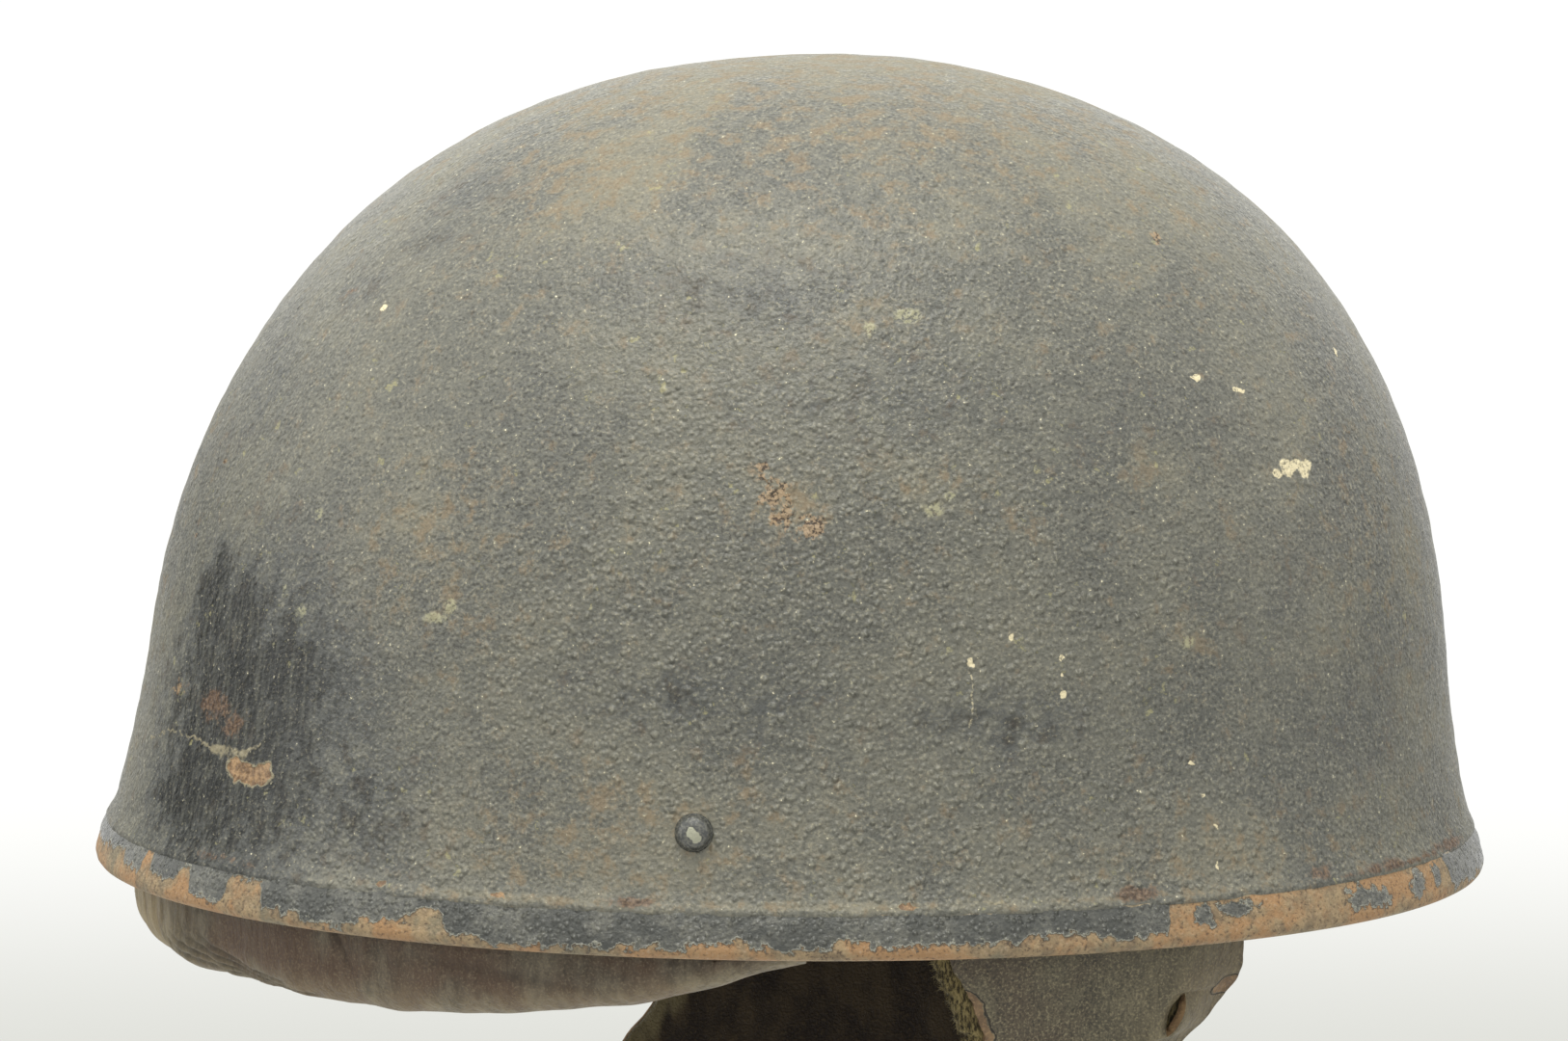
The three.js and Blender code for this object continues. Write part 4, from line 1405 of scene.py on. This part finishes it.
def fibre_model(material, length, radius):
    """One bent fibre that grows along +Z to a fine tip."""
    bm = bmesh.new()
    bmesh.ops.create_cone(
        bm, cap_ends=True, segments=fibre_sides, radius1=radius, radius2=0, depth=length)
    bmesh.ops.translate(bm, vec=(0, 0, length / 2), verts=bm.verts)
    sides = [e for e in bm.edges if abs(e.verts[0].co.z - e.verts[1].co.z) > length / 2]
    bmesh.ops.subdivide_edges(bm, edges=sides, cuts=1)
    for corner in bm.verts:
        corner.co.x += length * 0.35 * (corner.co.z / length) ** 2
    return in_scene("fibre", mesh_of(bm, "fibre", material))


def scatter(name, ground, model, density, tilt, seed):
    """Copies of a fibre on the ground's faces, as one mesh; the ground's growth says how thickly."""
    group = bpy.data.node_groups.new(name, "GeometryNodeTree")
    group.interface.new_socket(name="Geometry", in_out="OUTPUT", socket_type="NodeSocketGeometry")
    output = add(group, "NodeGroupOutput")
    soil = add(group, "GeometryNodeObjectInfo", {"Object": ground}).outputs["Geometry"]
    grown = add(group, "GeometryNodeInputNamedAttribute", {"Name": "growth"}, data_type="FLOAT")
    thick = times(grown.outputs["Attribute"], density)
    inputs = {"Mesh": soil, "Density": thick, "Seed": seed}
    points = add(group, "GeometryNodeDistributePointsOnFaces", inputs)
    inputs = {"Min": (-tilt, -tilt, 0), "Max": (tilt, tilt, 2 * math.pi), "Seed": seed + 1}
    turn = add(group, "FunctionNodeRandomValue", inputs, data_type="FLOAT_VECTOR").outputs[0]
    inputs = {"Rotation": points.outputs["Rotation"], "Rotate By": turn}
    turned = add(group, "FunctionNodeRotateRotation", inputs, rotation_space="LOCAL").outputs[0]
    inputs = {2: fibre_sizes[0], 3: fibre_sizes[1], "Seed": seed + 2}
    size = add(group, "FunctionNodeRandomValue", inputs, data_type="FLOAT")
    stem = add(group, "GeometryNodeObjectInfo", {"Object": model}).outputs["Geometry"]
    inputs = {"Points": points.outputs["Points"], "Instance": stem, "Rotation": turned}
    inputs["Scale"] = size.outputs[1]
    copies = add(group, "GeometryNodeInstanceOnPoints", inputs).outputs[0]
    whole = add(group, "GeometryNodeRealizeInstances", {"Geometry": copies}).outputs[0]
    group.links.new(whole, output.inputs[0])
    carrier = in_scene(name, bpy.data.meshes.new(name))
    carrier.modifiers.new("scatter", "NODES").node_group = group
    bpy.context.view_layer.update()
    graph = bpy.context.evaluated_depsgraph_get()
    mesh = bpy.data.meshes.new_from_object(carrier.evaluated_get(graph))
    carrier.modifiers.clear()
    carrier.data = mesh
    bpy.data.node_groups.remove(group)
    bpy.data.objects.remove(model)
    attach(carrier, "root")
    print(f"{name}: {len(mesh.polygons)} faces")
    return carrier


def set_growth(piece, rule):
    """Writes how thickly fibres grow at each corner, from 0 to 1."""
    growth = piece.data.attributes.new("growth", "FLOAT", "POINT")
    growth.data.foreach_set("value", [rule(v) for v in piece.data.vertices])


# %% Right flap's felt
felt_columns = 60
felt_rows = 90
pad_edge = 12
halo_share = 0.09


def closed_pad(name, columns, lines, place, other_place, material):
    """A soft layer with two faces that meet in a rounded edge."""
    def half(near, far):
        def rounded(u, v):
            edge = min(1.0, pad_edge * min(u, 1 - u, v, 1 - v))
            pull = 0.5 * (1 - math.sqrt(1 - (1 - edge) ** 2))
            return near(u, v).lerp(far(u, v), pull)
        return rounded

    # Where the pile's painted rim light goes: near its rear and lower edges.
    def halo(u, v):
        return 1 - smooth_step(min(u, 1 - v), 0, halo_share)

    bm = bmesh.new()
    moved_grid(bm, columns, lines, half(place, other_place), halo=halo)
    moved_grid(bm, columns, lines, half(other_place, place), halo=halo)
    bmesh.ops.remove_doubles(bm, verts=bm.verts, dist=weld)
    return finished(bm, name, material)


def felt_place(depth):
    """The felt's place at a depth below the bowl's skin."""
    return flap_place(right_felt_outline, -1, depth, right_lean, fray=1.8 * mm, buckle=1.5 * mm)


felt = closed_pad(
    "right_flap_felt", felt_columns, felt_rows, felt_place(lining_depth),
    felt_place(lining_depth + felt_thickness), felt_material)
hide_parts("right_flap_lining")

# %% Left flap
left_columns = 90
left_rows = 100
left_buckle = 2 * mm
pile_share = 0.985
pile_backing = 2.5 * mm
pile_outline = [{name: pile_share * value for name, value in row.items()} for row in left_flap_outline]


def pile_place(depth):
    """The pile's place at a depth below the bowl's skin."""
    return flap_place(pile_outline, 1, depth, left_lean, fray=0.8 * mm, buckle=left_buckle)


left_place = flap_place(
    left_flap_outline, 1, leather_depth, left_lean, fray=0.6 * mm, buckle=left_buckle)
left_bm = flap_sheet(left_columns, left_rows, left_place, 1)
left_leather = finished(left_bm, "left_flap_leather", flap_grain, raw_side)
leather_wall(left_leather, flap_leather)
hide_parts("left_ear_flap")
declare_sheet(left_place)
pile = closed_pad(
    "left_flap_pile", left_columns, left_rows, pile_place(lining_depth),
    pile_place(lining_depth + pile_backing), pile_material)
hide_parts("left_flap_lining")

# %% Scatter the fibres
def hanging_below(v):
    """True for a corner that hangs free below the wall."""
    return v.co.z < hang_height - rim_drop


set_growth(pile, lambda v: 1.0 if v.normal.y < 0.2 and hanging_below(v) else 0.0)
pile_fibre = fibre_model(pile_material, length=2.8 * mm, radius=0.1 * mm)
pile_fibres = scatter("left_flap_fibres", pile, pile_fibre, density=1.3e6, tilt=0.6, seed=11)
set_growth(felt, lambda v: 1.0 if v.normal.x < -0.1 and hanging_below(v) else 0.12)
felt_fibre = fibre_model(felt_material, length=1.3 * mm, radius=0.08 * mm)
felt_fibres = scatter("felt_fibres", felt, felt_fibre, density=6e6, tilt=1.2, seed=23)
declare_sheet(pile_place(lining_depth))
declare_sheet(felt_place(lining_depth))

# %% [markdown]
# ## Floor, backdrop and light
# The helmet is held at head height, so the floor lies far below it. It fades out with distance into
# a pale world, which leaves no horizon. The light is a soft studio tent: a large panel overhead, a
# second one at the front left for the sheen, and the pale world all round.

# %% Floor
floor_drop = 3.2
floor_radius = 9
floor_sides = 128


def studio_floor():
    """A pale disc that fades out towards its edge."""
    bm = bmesh.new()
    bmesh.ops.create_circle(bm, cap_ends=True, radius=floor_radius, segments=floor_sides)
    bmesh.ops.translate(bm, vec=(0, 0, -floor_drop), verts=bm.verts)
    material = bpy.data.materials.new("studio_floor")
    material.use_nodes = True
    tree = material.node_tree
    tree.nodes.clear()
    flat = vector_maths("MULTIPLY", place_of(tree), (1, 1, 0))
    away = vector_maths("LENGTH", flat, output="Value")
    fade = ramp(away, floor_radius * 0.45, floor_radius * 0.95)
    pale = add(tree, "ShaderNodeBsdfDiffuse", {"Color": (0.86, 0.86, 0.85, 1)}).outputs[0]
    clear = add(tree, "ShaderNodeBsdfTransparent").outputs[0]
    mixed = add(tree, "ShaderNodeMixShader", {0: fade, 1: pale, 2: clear}).outputs[0]
    add(tree, "ShaderNodeOutputMaterial", {"Surface": mixed})
    return in_scene("studio_floor", mesh_of(bm, "studio_floor", material))


studio_floor()

# %% World and lights
world = bpy.data.worlds.new("light_tent")
world.use_nodes = True
bpy.context.scene.world = world
sky = world.node_tree
sky.nodes.clear()
direction = add(sky, "ShaderNodeTexCoord").outputs["Generated"]
upward = add(sky, "ShaderNodeSeparateXYZ", {0: direction}).outputs["Z"]
glow = blend(ramp(upward, -0.206, -0.155), (0.75, 0.755, 0.71), (1.04, 1.04, 1.02))
glow = blend(ramp(upward, 0.0, 0.4), glow, (1.55, 1.55, 1.46))
tent = add(sky, "ShaderNodeBackground", {"Color": glow, "Strength": 1.0}).outputs[0]
add(sky, "ShaderNodeOutputWorld", {"Surface": tent})


def panel(name, place, side, power, mirrored=True):
    """A soft square light that faces the middle of the helmet; glossy paint may mirror it."""
    light = bpy.data.lights.new(name, "AREA")
    light.shape = "RECTANGLE"
    light.size = light.size_y = side
    light.energy = power
    light.color = (1, 0.99, 0.94)
    lamp = in_scene(name, light)
    lamp.location = place
    lamp.visible_glossy = mirrored
    lamp.rotation_euler = (camera_target - Vector(place)).to_track_quat("-Z", "Y").to_euler()


panel("overhead_panel", (-0.15, -0.45, 1.35), side=0.9, power=11)
panel("overhead_fill", (-0.15, -0.3, 1.5), side=1.2, power=21, mirrored=False)
panel("left_panel", (-1.45, -0.7, 0.55), side=0.8, power=3)
bpy.context.scene.view_settings.view_transform = "Standard"
